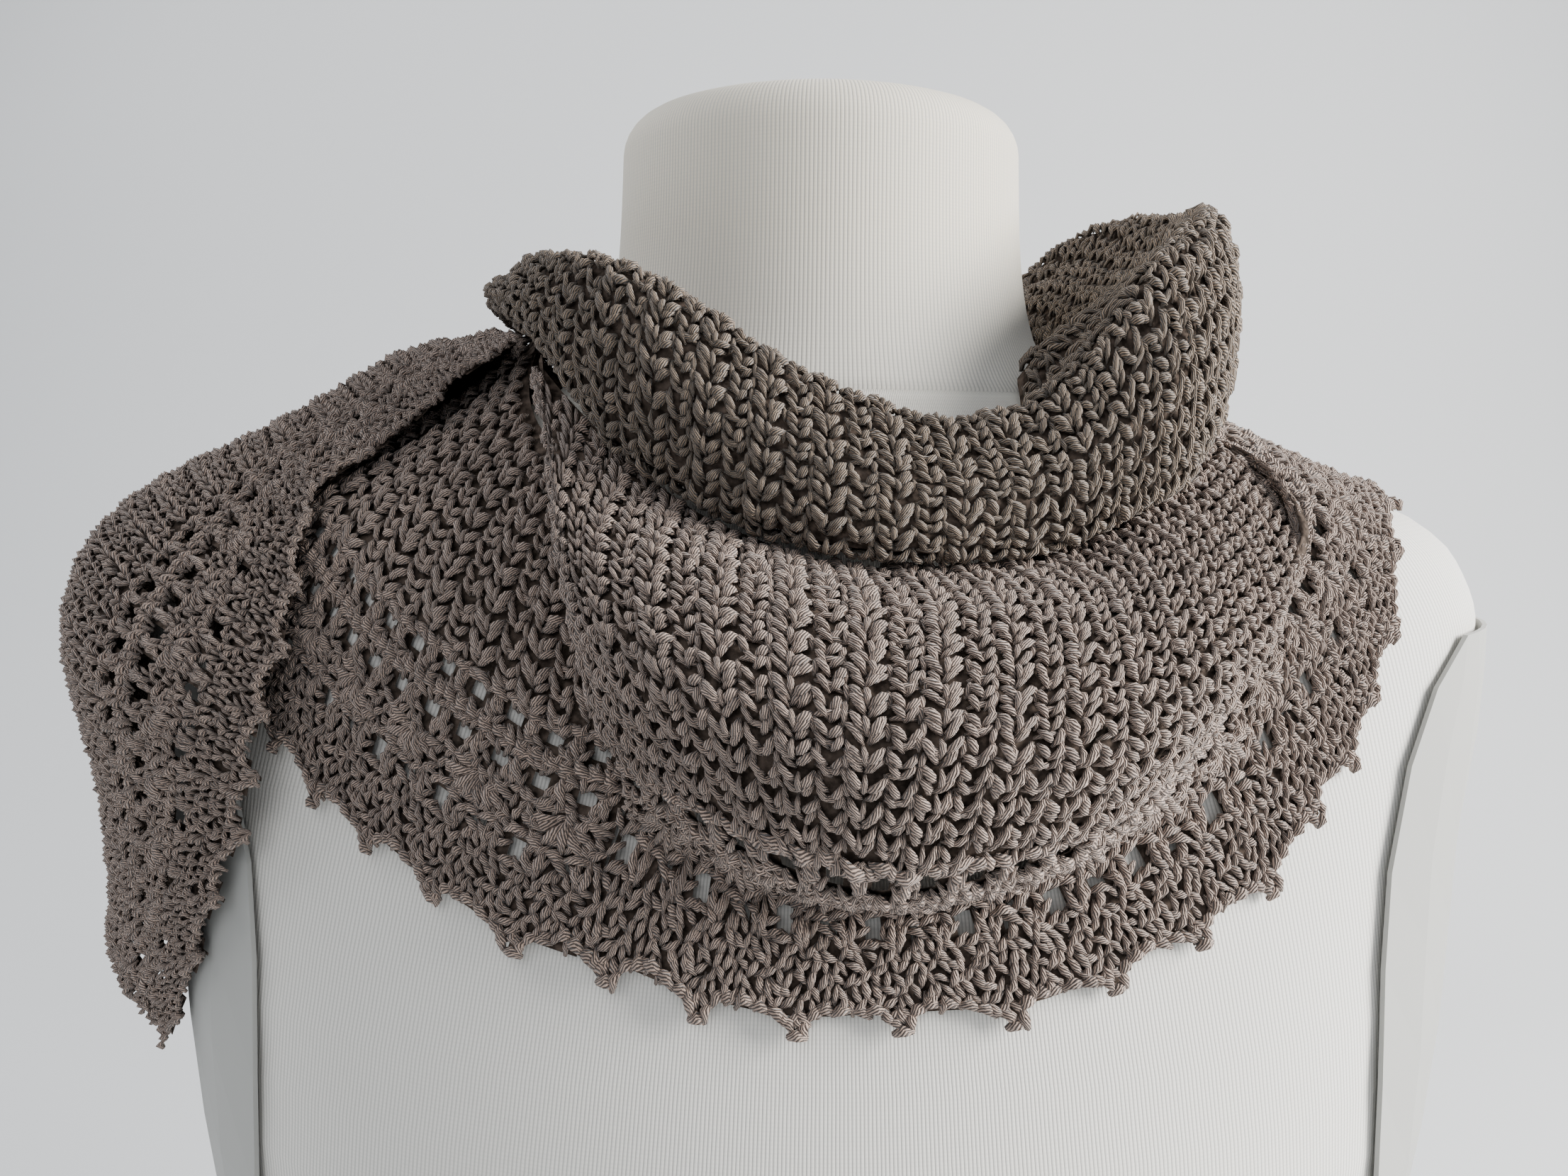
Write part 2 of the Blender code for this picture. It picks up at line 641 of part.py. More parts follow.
def front_lace(finish):
    """The border under the drape, which turns outward where it meets the chest."""

    def point_at(place, reach, back):
        return front_lace_point(station_of(place), reach, back)

    def body_at(place):
        return drape_point(station_of(place), BODY_LAST)

    return lace("front_lace", point_at, body_at, FRONT_FIRST, FRONT_REPEATS, finish)


def wrap_lace(name, first, repeats, finish):
    """A stretch of the border that lies on the form."""

    def point_at(place, reach, back):
        return wrap_lace_point(wrap_station(place), reach, back)

    def body_at(place):
        return wrap_body_point(wrap_station(place), BODY_LAST)

    return lace(name, point_at, body_at, first, repeats, finish)


def wrap_body(name, first, last, spans, rows, finish):
    """A stretch of the shawl's body that lies on the form, between two places."""
    stations = np.linspace(wrap_station(first) + SEAM_STATION, wrap_station(last), spans + 1)
    amounts = np.linspace(0.0, 1.0 - BODY_SEAM, rows + 1)
    face = [[wrap_body_point(station, amount) for station in stations] for amount in amounts]
    below = [wrap_lace_point(station, LACE_ROWS[1][1], 0.0) for station in stations]
    return cloth(name, np.array(face), finish, below=below)


def left_shoulder(first, last, finish):
    """The plain stretch of the wrap that the flap covers, from its top to its hem."""
    stations = np.linspace(wrap_station(first) + SEAM_STATION,
                           wrap_station(last) - SEAM_STATION, 8)
    face = []
    for amount in np.linspace(0.0, 1.0, 9):
        row = []
        for station in stations:
            azimuth, _, _, top_height = wrap_row(station)
            top = length_at(azimuth, top_height)
            hem = length_at(azimuth, hem_height(azimuth)) - PICOT
            lift = 2 * REST + CLOTH + neck_lift(azimuth, amount * HIDDEN_BODY)
            row.append(on_form(azimuth, top + (hem - top) * amount, lift))
        face.append(row)
    return cloth("left_shoulder", np.array(face), finish)


def flap_point(across, down):
    """Outer face of the flap: across from its front edge, down from the neck to the hem."""
    table = columns(FLAP)
    steps = np.linspace(0, 1, len(FLAP))
    row = [float(curve(down, steps, values)) for values in table]
    places = np.array((0.0, FLAP_SIDE, 1.0))
    azimuth = curve(across, places, np.array((row[0], -90.0, row[5])))
    radius = curve(across, places, np.array((row[1], row[3], row[6])))
    height = curve(across, places, np.array((row[2], row[4], row[7])))
    return polar(azimuth, radius, height)


def left_flap(finish):
    """The body of the flap, from the neck over the shoulder to its lower hem."""
    across = np.linspace(1.0, FLAP_LACE + 3 * SEAM / FLAP_WIDTH, 10)
    downs = np.linspace(0, 1, 23)
    face = np.array([[flap_point(place, down) for place in across] for down in downs])
    return cloth("left_flap", face, finish, ridges=ribs(len(downs), len(across)).T)


def flap_lace(finish):
    """The border along the flap's front edge, from its tip up to the neck."""

    def point_at(place, reach, back):
        across = FLAP_LACE * (1 - reach / 2) + back / FLAP_WIDTH
        return flap_point(across, 1.0 - place / FLAP_REPEATS)

    def body_at(place):
        return flap_point(FLAP_LACE + 0.04, 1.0 - place / FLAP_REPEATS)

    return lace("flap_lace", point_at, body_at, 0, FLAP_REPEATS, finish)


def clear_scene():
    """Start from an empty scene."""
    for thing in list(bpy.data.objects):
        bpy.data.objects.remove(thing, do_unlink=True)


def main():
    clear_scene()
    jersey = material("form_jersey", (0.72, 0.70, 0.65), 0.9)
    plate = material("plate_jersey", (0.55, 0.54, 0.50), 0.9)
    yarn = material("shawl_yarn", (0.30, 0.23, 0.195), 0.85)
    border = material("border_yarn", (0.32, 0.25, 0.21), 0.85)
    dress_form(jersey)
    side_plate("side_plate_left", -1, plate)
    side_plate("side_plate_right", 1, plate)
    neck_roll("roll_front", ROLL_SEAMS[0], ROLL_SEAMS[1], yarn)
    part = math.degrees(2 * SEAM / 90.0)
    neck_roll("roll_back", ROLL_SEAMS[1] + part, ROLL_SEAMS[0] + 360.0 - part, yarn)
    front_drape(yarn)
    front_lace(border)
    right = FRONT_FIRST + FRONT_REPEATS
    back = right + RIGHT_REPEATS
    wrap_body("right_shoulder", right, back, 10, 6, yarn)
    wrap_lace("right_lace", right, RIGHT_REPEATS, border)
    wrap_body("back_wrap", back, back + BACK_REPEATS, 20, 7, yarn)
    wrap_lace("back_lace", back, BACK_REPEATS, border)
    left_shoulder(back + BACK_REPEATS, LEFT_FIRST, yarn)
    left_end = LEFT_FIRST + LEFT_REPEATS
    wrap_body("left_front", LEFT_FIRST, left_end + LEFT_UNDER, 10, 5, yarn)
    wrap_lace("left_lace", LEFT_FIRST, LEFT_REPEATS, border)
    left_flap(yarn)
    flap_lace(border)


HEM_PLACES = hem_places()
main()
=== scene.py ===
"""A crocheted shawl on a limbless dress form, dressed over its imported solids.

Surfaces are worked out in millimetres and become metres in the meshes. An azimuth of 0
degrees faces the viewer (-Y) and 90 is the viewer's right.
"""
import math

import bpy
import numpy as np
from mathutils import Matrix


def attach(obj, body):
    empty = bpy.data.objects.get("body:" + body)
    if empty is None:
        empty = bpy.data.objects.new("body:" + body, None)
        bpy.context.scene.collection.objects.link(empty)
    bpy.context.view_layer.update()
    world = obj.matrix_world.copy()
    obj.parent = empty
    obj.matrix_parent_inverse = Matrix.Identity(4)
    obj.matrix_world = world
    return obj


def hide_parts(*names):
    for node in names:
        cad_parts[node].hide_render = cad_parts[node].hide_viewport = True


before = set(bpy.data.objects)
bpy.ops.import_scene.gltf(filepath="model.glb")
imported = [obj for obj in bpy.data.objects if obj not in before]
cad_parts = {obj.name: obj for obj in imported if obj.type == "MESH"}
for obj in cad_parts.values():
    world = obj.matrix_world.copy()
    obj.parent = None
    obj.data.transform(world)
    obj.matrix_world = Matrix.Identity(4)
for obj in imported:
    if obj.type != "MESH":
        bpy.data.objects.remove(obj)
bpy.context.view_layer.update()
MM = 0.001

# Cloth
CLOTH = 2.6             # thickness of the worn wall
REST = 1.4              # clearance between the form and the cloth that rests on it
WRAP_REST = 2.0         # the same under the wrap, which spans the bend of the shoulders
BACKING = 2.1           # depth of the shell behind the outer face of the stitches
ROW_PAIR = 14.4         # two rows of stitches, from one ridge to the next
FLAP_ROW_PAIR = 12.5
STITCH = 6.4            # height of one stitch along its row
REPEAT = 22.0           # one shell of the lace border with its picot, where out of sight
LACE = 52.0             # width of the lace border, picots included
PICOT = 4.0             # length of a picot
HIDDEN_BODY = 1.7       # width of the hidden stretch, counted in widths of its body

# Dress form
FORM_TOP = 640.0        # flat top of the neck
FORM_CAP_ROUND = 11.0   # rounding of the edge of the neck cap
FORM_BASE_ROUND = 4.0   # rounding of the lower edge
FORM_COLUMNS = 120
SHOULDERS = 480.0       # height from which the rings of the form lie closer together
BODY_STEP, SHOULDER_STEP = 18.0, 4.0    # heights between those rings
CAP_RINGS = (0.97, 0.9, 0.75, 0.5, 0.25, 0.05)      # rings of the neck cap, as parts of its width
CAP_COURSES = 2.0       # courses between those rings
NECK_SEAM = 562.0       # height of the seam round the foot of the neck
SEAM_GROOVE = 0.35      # depth of that seam
NECK_WALES, BODY_WALES = 330, 860       # wales of the jersey counted round the form
COURSE = 0.9            # height of one course of the jersey

# Horizontal sections of the form: height, half width, depth to the front and to the back
FORM_SECTIONS = (
    # z      side   front  back
    (0.0,    170.0, 106.0, 112.0),
    (60.0,   170.0, 105.0, 118.0),
    (130.0,  154.0,  96.0, 106.0),
    (205.0,  142.0,  90.0,  94.0),
    (270.0,  158.0, 102.0,  99.0),
    (325.0,  180.0, 122.0, 104.0),
    (360.0,  183.0, 128.0, 107.0),
    (391.0,  186.5, 124.0, 108.0),
    (443.0,  191.0, 110.0, 107.0),
    (468.0,  195.0, 101.0, 103.0),
    (498.0,  197.0,  89.0,  96.0),
    (517.0,  190.0,  81.0,  91.0),
    (529.0,  175.0,  76.0,  87.0),
    (537.0,  152.0,  72.5,  83.0),
    (547.0,  118.0,  68.5,  78.0),
    (556.0,   91.0,  65.0,  73.0),
    (566.0,   72.0,  61.5,  67.0),
    (580.0,   62.5,  58.5,  61.0),
    (602.0,   58.5,  57.0,  58.0),
    (640.0,   56.5,  56.0,  56.0),
)

# Neck roll, a band folded over on itself: the fold at its top and its lower outer edge
ROLL_SECTIONS = (
    # azimuth  top_r  top_z  low_r  low_z
    (-180.0,    92.0, 578.0, 102.0, 549.0),
    (-150.0,    88.0, 583.0,  99.0, 554.0),
    (-120.0,    86.0, 592.0,  97.0, 568.0),
    (-95.0,     85.0, 597.0,  95.0, 581.0),
    (-75.0,     85.0, 598.0,  94.5, 583.0),
    (-58.0,     86.0, 597.0,  94.0, 577.0),
    (-45.0,     87.0, 595.0,  94.0, 564.0),
    (-34.0,     87.0, 592.0,  94.0, 547.0),
    (-24.0,     86.0, 585.0,  95.0, 538.5),
    (-10.0,     84.0, 572.0,  98.0, 529.5),
    (5.0,       84.5, 561.0, 101.0, 524.0),
    (19.0,      87.0, 555.5, 103.0, 523.0),
    (30.0,      91.0, 558.5, 106.0, 525.0),
    (40.0,      96.0, 571.5, 110.0, 531.0),
    (50.0,     102.0, 592.0, 114.0, 538.0),
    (64.0,     106.0, 607.0, 115.0, 550.0),
    (80.0,     109.0, 615.0, 116.0, 560.0),
    (100.0,    114.0, 620.0, 118.0, 567.0),
    (118.0,    117.0, 624.0, 121.0, 563.0),
    (130.0,    115.0, 618.0, 120.0, 556.0),
    (140.0,    109.0, 600.0, 117.0, 551.0),
    (155.0,    100.0, 585.0, 111.0, 549.0),
)

ROLL_SEAMS = (-128.0, 96.0)     # azimuths where the front and the back stretch meet
ROLL_PARTING = 0.4              # degrees between them
ROLL_FOOT, ROLL_FOOT_DROP = 566.0, 14.0     # height of its foot, and how far under its top at least
ROLL_FOLD, ROLL_FULL = 5.0, 3.5             # radius of the fold, and how far the band bellies out
ROLL_STEP, ROLL_ROWS = 3.5, 17              # degrees between its sections, and points through each

# Front drape: azimuth, radius and height on four lines, from under the roll to the eyelets
DRAPE_TOP = ((-57, 88, 571), (-36, 84, 548.5), (-15, 86, 531.5), (8, 89, 523),
             (30, 93.5, 524.6), (48, 102, 537), (70, 107, 553.5))
DRAPE_CROWN = ((-43, 99, 550), (-29, 111, 532), (-12, 117, 523), (8, 119, 515.5), (28, 120, 517.5),
               (46, 121, 527), (68, 120, 545))
DRAPE_BELLY = ((-27, 121, 508), (-19, 132, 500), (-8, 141, 494), (6, 147, 490), (22, 146, 491),
               (41, 140, 500), (62, 136, 527))
DRAPE_EYELET = ((-21, 125, 482), (-15, 131, 480), (-6, 139, 475), (5, 142, 469), (20, 140, 471),
                (38, 135, 486), (54, 131, 513))
DRAPE_HEM = (-26, -18, -7, 7, 27, 45, 58)   # azimuths in which the stations reach the hem
FOLD_RADIUS = (3.5, 7.0, 10.0, 7.5)         # of the drape's left edge, on the same four lines
FOLD_PLACES = (0.0, 0.36, 0.76, 1.0)        # where those lines lie, from the top to the eyelets
FOLD_TURNS = (150, 120, 90, 60, 30)         # degrees by which that edge turns under
DRAPE_COLUMNS, DRAPE_ROWS = 37, 13
LEAD_FROM, LEAD_REACH = 0.93, 0.35          # how the lace leaves the drape at the eyelets

# Hem: azimuth and height of the picots seen in front, and of the hem where nothing is seen
HEM_LEFT = ((-104, 512), (-90, 514), (-78, 502), (-69, 486))
PICOTS = ((-61.4, 472.4), (-56.4, 462.2), (-50, 453.2), (-42.8, 444.3), (-33.6, 435.2),
          (-22.4, 429.7), (-12.7, 424.3), (-2.2, 421.7), (8.7, 423), (20.3, 423.1),
          (31.2, 429), (40.2, 435.9), (49.1, 445.3), (55.1, 460.1), (60.1, 471),
          (63.7, 485.1), (67.9, 500.8), (72.5, 520))
HEM_BACK = ((79, 529.5), (86, 533), (92, 533), (104, 526), (118, 508), (140, 478), (165, 458), (180, 452),
            (205, 455), (230, 472), (256, 512))
HEM = HEM_LEFT + PICOTS + HEM_BACK

# Crease in which the front lace turns outward: azimuth and height
CREASE = ((-30, 468), (-20, 462), (-11, 454.5), (-1, 449), (10, 447.5), (22, 451), (31, 456.5),
          (40, 465.5), (47, 474.5), (53, 488), (57, 500), (62, 517), (72, 538))

# Where the left shoulder's cloth climbs towards the neck: height, middle and half width
NECK_LIFT, NECK_LIFT_AZIMUTH, NECK_LIFT_SPREAD = 13.0, -81.0, 25.0
NECK_LIFT_END = 0.7     # part of the way to the eyelets at which the climb has died out

WRAP_FADE = 1.6     # stations over which the wrap loses the drape's fullness

# Soft fold along the top of the right shoulder: height off the form, where it lies, its spread
FOLD_LIFT, FOLD_AZIMUTH, FOLD_AZIMUTH_SPREAD = 7.0, 97.0, 21.0
FOLD_HEIGHT, FOLD_HEIGHT_SPREAD = 549.0, 8.0

# The wrap: azimuths at its top, at its eyelets and at its hem, and the height of its top
WRAP = ((6, 70, 54, 58, 551), (7, 84, 69, 71, 557), (8, 100, 94, 94, 559), (9, 120, 119, 119, 560),
        (10, 150, 150, 150, 557), (11, 180, 180, 180, 556), (12, 210, 210, 210, 557),
        (13, 240, 240, 240, 560), (14, 262, 262, 262, 561), (15, 282, 282, 282, 564),
        (16, 304, 304, 304, 551), (17, 324, 326.5, 324, 537), (18, 350, 355, 350, 512))

# Places round the hem are counted in repeats of the border: the first of each stretch, and
# how many it has
FRONT_FIRST, FRONT_REPEATS = -2, 9
RIGHT_FIRST, RIGHT_REPEATS = FRONT_FIRST + FRONT_REPEATS, 6
BACK_FIRST, BACK_REPEATS = RIGHT_FIRST + RIGHT_REPEATS, 19
LEFT_FIRST, LEFT_REPEATS = -8, 6
PICOT_PLACE = 0.385                 # of the picot in its repeat
FIRST_PICOT = -7                    # repeat in which the first seen picot hangs
LEFT_UNDER = 1.35                   # repeats of the left front under the drape
LACE_COLUMNS = 8                    # columns of a border's face in each repeat
LACE_REACHES = (0, 0.15, 0.3, 0.5, 0.75, 1.0, 1.2, 1.4, 1.7, 2.0)  # its rows: 2 at the picots

# Left flap: front edge, side at -90 and back edge
FLAP = (
    # front edge          side at -90    back edge
    # azimuth, r, z       r, z           azimuth, r, z
    (-60,  91, 576,        94, 580,      -128,  87, 563),
    (-65, 105, 566,       120, 575,      -126, 102, 556),
    (-67, 119, 552,       142, 563,      -124, 120, 546),
    (-65, 142, 535,       164, 551,      -122, 138, 531),
    (-61, 147, 517,       187, 541,      -120, 152, 514),
    (-59, 151, 501,       206, 530,      -118, 163, 492),
    (-58, 157, 484,       219, 515,      -117, 169, 468),
    (-57, 161, 468,       224, 495,      -116, 172, 445),
    (-60, 164, 450,       221, 470,      -115, 175, 420),
    (-63, 171, 430,       217, 445,      -114, 177, 395),
    (-67, 176, 410,       217, 420,      -113, 179, 370),
    (-75, 188, 380,       221, 394,      -112, 183, 348),
)
FLAP_SIDE = 0.45        # part of the flap's width that lies before the side
FLAP_LACE = 0.21        # part of that width in the border
FLAP_REPEATS = 12

# Unevenness of hand work: how deep the strands sit in the cloth, their scatter, their turn as
# a slope, and slow waves with their lengths along the cloth
SINK, LOOSE, TURN = 1.35, 0.34, 0.13
SWAY, SWAY_LENGTH = 0.7, 13.0
DRIFT, DRIFT_LENGTH = 0.4, 31.0
SWELL, SWELL_ACROSS, SWELL_DOWN = 0.35, 17.0, 21.0

# One pair of stitch rows: where each strand starts and ends, as parts of the pair's width
# and in stitches down the row, how far it bows sideways, its height and its radius in mm
BODY_STITCH = (
    # across  down  across down    bow  start rise   end  radius
    (0.030,  0.00,  0.270, 0.62, -0.15,  0.0, 1.75,  0.3, 1.05),    # left leaf of the braid
    (0.020,  0.28,  0.260, 0.82, -0.15, -0.1, 1.35,  0.1, 0.96),
    (0.080,  0.50,  0.270, 1.02, -0.10, -0.2, 1.05,  0.0, 0.86),
    (0.550,  0.05,  0.300, 0.66,  0.15,  0.0, 1.70,  0.3, 1.03),    # right leaf of the braid
    (0.560,  0.33,  0.310, 0.86,  0.15, -0.1, 1.30,  0.1, 0.96),
    (0.500,  0.55,  0.290, 1.06,  0.10, -0.2, 1.00,  0.0, 0.86),
    (0.280,  0.10,  0.290, 0.76,  0.06,  0.2, 2.00,  0.4, 0.74),    # strand along its middle
    (0.600,  0.18,  0.780, 0.70, -0.20,  0.0, 1.30,  0.1, 0.96),    # narrow braid, left
    (0.610,  0.55,  0.790, 1.10, -0.20, -0.1, 1.10,  0.0, 0.90),
    (0.970,  0.24,  0.800, 0.75,  0.20,  0.0, 1.35,  0.1, 0.96),    # narrow braid, right
    (0.980,  0.60,  0.800, 1.14,  0.20, -0.1, 1.10,  0.0, 0.90),
    (0.590,  0.97,  0.980, 0.92,  0.25, -0.3, 0.60, -0.2, 0.83),    # rung behind them
    (-0.010, -0.05, 0.015, 0.56,  0.15,  0.0, 0.85,  0.0, 0.77),    # chains in the valleys
    (0.005,  0.50, -0.010, 1.08, -0.15,  0.0, 0.80,  0.0, 0.77),
    (0.575,  0.00,  0.585, 0.62,  0.15, -0.2, 0.55, -0.2, 0.74),
)
HIDDEN_STRANDS = 8      # how many of them are laid where the cloth is out of sight

# A strand's radius at its ends as part of its own, how soon it fills out, and its height as
# part of its width
STRAND_END, STRAND_FILL, STRAND_ROUND = 0.52, 0.6, 0.9


def repeated(step, count, *rows):
    """Strands of a border repeated a number of times along it, a step apart."""
    return tuple((row[0] + number * step, row[1], row[2] + number * step, *row[3:])
                 for number in range(count) for row in rows)


# One repeat of the lace: places in mm along the border and outward from the eyelets
LACE_STITCH = (
    # along  out    along  out    bow   start rise  end   radius
    # chain along the body's edge
    *repeated(11.0, 2,
              (-0.5,   0.4,    5.5,   1.6,  0.5,  0.2, 1.0,  0.2, 1.28),
              (5.0,    0.2,   11.0,   1.6, -0.5,  0.2, 1.1,  0.2, 1.34)),
    # posts between the eyelets
    *repeated(11.0, 2,
              (9.3,    0.5,    7.6,   8.0,  0.7,  0.0, 0.9,  0.0, 1.28),
              (7.9,    0.5,    9.9,   8.0, -0.5,  0.2, 1.3,  0.1, 1.22)),
    # rope-like band, and the chain under it
    *repeated(3.6, 6,
              (-1.0,   7.4,    3.6,  10.6, -0.5,  0.0, 1.3,  0.0, 1.47)),
    *repeated(5.5, 4,
              (0.5,   11.6,    6.5,  10.4,  0.4, -0.2, 0.6, -0.2, 1.15)),
    # posts between the arches
    *repeated(11.0, 2,
              (8.9,   10.6,    6.9,  19.0,  0.8,  0.0, 1.1,  0.0, 1.34),
              (8.1,   10.6,   10.3,  19.0, -0.6,  0.2, 1.4,  0.0, 1.22)),
    # shell of splayed posts
    (12.5,  19.6,    1.0,  19.0,  0.6, -0.1, 0.9,  0.0, 1.22),
    (12.6,  20.2,    2.0,  22.6,  0.6,  0.0, 1.2,  0.1, 1.34),
    (12.8,  20.6,    4.8,  26.0,  0.5,  0.0, 1.3,  0.1, 1.34),
    (13.0,  20.8,    9.0,  28.2,  0.3,  0.0, 1.4,  0.1, 1.34),
    (13.3,  20.8,   13.4,  28.8,  0.0,  0.0, 1.4,  0.1, 1.34),
    (13.6,  20.6,   17.8,  27.6, -0.4,  0.0, 1.3,  0.1, 1.34),
    (13.8,  20.2,   21.2,  24.6, -0.5,  0.0, 1.2,  0.1, 1.34),
    (13.9,  19.6,   22.6,  21.0, -0.5, -0.1, 1.0,  0.0, 1.22),
    (0.0,   28.6,    5.2,  26.6,  0.8,  0.0, 1.1,  0.0, 1.22),
    (4.6,   27.2,   10.2,  29.0,  0.8,  0.0, 1.1,  0.0, 1.22),
    (9.6,   29.0,   15.4,  29.4,  0.8,  0.0, 1.1,  0.0, 1.22),
    (14.8,  29.4,   20.4,  27.4,  0.8,  0.0, 1.1,  0.0, 1.22),
    (19.6,  27.6,   23.2,  24.8,  0.5,  0.0, 1.0,  0.0, 1.15),
    # posts of the mesh row
    (7.2,   28.4,    8.3,  35.0, -0.6,  0.0, 1.2,  0.0, 1.22),
    (9.8,   28.8,    8.5,  35.2,  0.6,  0.1, 1.3,  0.0, 1.15),
    (18.4,  28.4,   19.4,  35.0, -0.6,  0.0, 1.2,  0.0, 1.22),
    (20.8,  27.4,   19.6,  35.2,  0.6,  0.1, 1.3,  0.0, 1.15),
    (11.0,  30.4,   17.0,  33.6,  0.8, -0.2, 0.9, -0.2, 1.09),
    # chain along the scallop, with the picot at its tip
    (-6.0,  47.4,   -1.4,  47.2,  0.7,  0.0, 1.4,  0.0, 1.30),
    (-2.2,  47.0,    2.2,  48.6,  0.7,  0.0, 1.5,  0.0, 1.30),
    (1.4,   47.8,    5.8,  49.8,  0.7,  0.0, 1.5,  0.0, 1.30),
    (5.0,   48.6,    7.6,  52.2,  0.6,  0.0, 1.4,  0.2, 1.25),
    (6.6,   52.2,   10.6,  52.0,  0.6,  0.1, 1.5,  0.1, 1.30),
    (10.2,  52.4,   11.2,  48.6,  0.6,  0.2, 1.4,  0.0, 1.25),
    (10.2,  49.4,   14.2,  47.0,  0.6,  0.0, 1.5,  0.0, 1.30),
    (7.8,   47.4,    8.8,  51.0, -0.3, -0.1, 1.2, -0.1, 1.20),
    (13.0,  47.6,   17.2,  47.2,  0.6,  0.0, 1.4,  0.0, 1.30),
)

# Gaps and scalloped edge of one repeat, in mm along the border and outward from the eyelets
LACE_GAPS = (
    # along start, end   out start, end
    (0.9, 5.3, 2.4, 6.8),
    (12.0, 16.4, 2.4, 6.8),
    (0.9, 5.7, 12.2, 17.8),
    (11.8, 16.6, 12.2, 17.8),
    (1.0, 5.4, 28.4, 32.8),
    (12.0, 16.4, 28.4, 32.8),
)
LACE_EDGE = ((0.0, 46.8), (4.4, 48.4), (8.8, 51.0), (11.0, 49.2), (13.6, 46.8), (22.0, 46.8))

# Leaning strands that fill a repeat: steps along and outward, length and radius in mm, and
# how far their middles keep from the gaps and from the edge
FILL_STEP, FILL_ROW, FILL_LENGTH, FILL_RADIUS = 2.2, 2.5, 4.6, 0.96
FILL_FIRST_ROW = 1.2    # of their middles, outward from the eyelets
GAP_SIDE, GAP_END, EDGE_MARGIN = 0.5, 0.6, 0.4


def columns(rows):
    """The columns of a short table, as arrays."""
    return np.array(rows, dtype=float).T


def curve(x, xs, ys):
    """A smooth curve through a short table that never overshoots its rows."""
    x = np.clip(np.asarray(x, dtype=float), xs[0], xs[-1])
    step = np.diff(xs)
    rise = np.diff(ys) / step
    slope = np.concatenate(([rise[0]], np.zeros(len(xs) - 2), [rise[-1]]))
    for i in range(1, len(xs) - 1):
        if rise[i - 1] * rise[i] > 0:
            before = 2 * step[i] + step[i - 1]
            after = step[i] + 2 * step[i - 1]
            slope[i] = (before + after) / (before / rise[i - 1] + after / rise[i])
    i = np.clip(np.searchsorted(xs, x, side="right") - 1, 0, len(xs) - 2)
    t = (x - xs[i]) / step[i]
    return (ys[i] * (1 + 2 * t) * (1 - t) ** 2 + step[i] * slope[i] * t * (1 - t) ** 2
            + ys[i + 1] * t * t * (3 - 2 * t) + step[i] * slope[i + 1] * t * t * (t - 1))


def polar(azimuth, radius, height):
    """A point at an azimuth in degrees, a radius and a height."""
    angle = np.radians(azimuth)
    return np.stack(np.broadcast_arrays(radius * np.sin(angle), -radius * np.cos(angle),
                                        height), axis=-1)


def form_radius(azimuth, height):
    """Radius of the dress form: half an ellipse in front and another behind."""
    heights, side, front, back = columns(FORM_SECTIONS)
    angle = np.radians(azimuth)
    across = np.sin(angle) / curve(height, heights, side)
    depth = np.where(np.cos(angle) > 0, curve(height, heights, front),
                     curve(height, heights, back))
    return 1.0 / np.hypot(across, np.cos(angle) / depth)


def turned(azimuth):
    """An azimuth between -180 and 180 degrees."""
    return (azimuth + 180) % 360 - 180


def closeness(azimuth, middle, spread):
    """1 at the middle azimuth, falling to 0 at the spread on either side."""
    return max(0.0, 1.0 - ((turned(azimuth) - middle) / spread) ** 2)


PROFILE_HEIGHTS = np.arange(604.0, 240.0, -2.0)
PROFILES = {}


def profile(azimuth):
    """The form from the neck down at one azimuth: radii, and lengths along the surface."""
    key = round(float(azimuth), 3)
    if key not in PROFILES:
        radii = form_radius(key, PROFILE_HEIGHTS)
        runs = np.hypot(np.diff(radii), np.diff(PROFILE_HEIGHTS))
        PROFILES[key] = (radii, np.concatenate(([0.0], np.cumsum(runs))))
    return PROFILES[key]


def length_at(azimuth, height):
    """Length along the form's surface from the neck down to a height."""
    return np.interp(-height, -PROFILE_HEIGHTS, profile(azimuth)[1])


def on_form(azimuth, length, lift):
    """A point at a length down the form's surface, lifted off it."""
    radii, lengths = profile(azimuth)

    def at(distance):
        return (np.interp(distance, lengths, radii),
                np.interp(distance, lengths, PROFILE_HEIGHTS))

    radius, height = at(length)
    above, below = at(length - 2.0), at(length + 2.0)
    run, drop = below[0] - above[0], above[1] - below[1]
    size = math.hypot(run, drop)
    return polar(azimuth, radius + lift * drop / size, height + lift * run / size)


def along(points, amount):
    """A point part of the way along a smooth curve through a few points."""
    points = np.asarray(points, dtype=float)
    gaps = np.linalg.norm(np.diff(points, axis=0), axis=1)
    places = np.concatenate(([0.0], np.cumsum(gaps))) / gaps.sum()
    return np.array([curve(amount, places, points[:, axis]) for axis in range(3)]).T


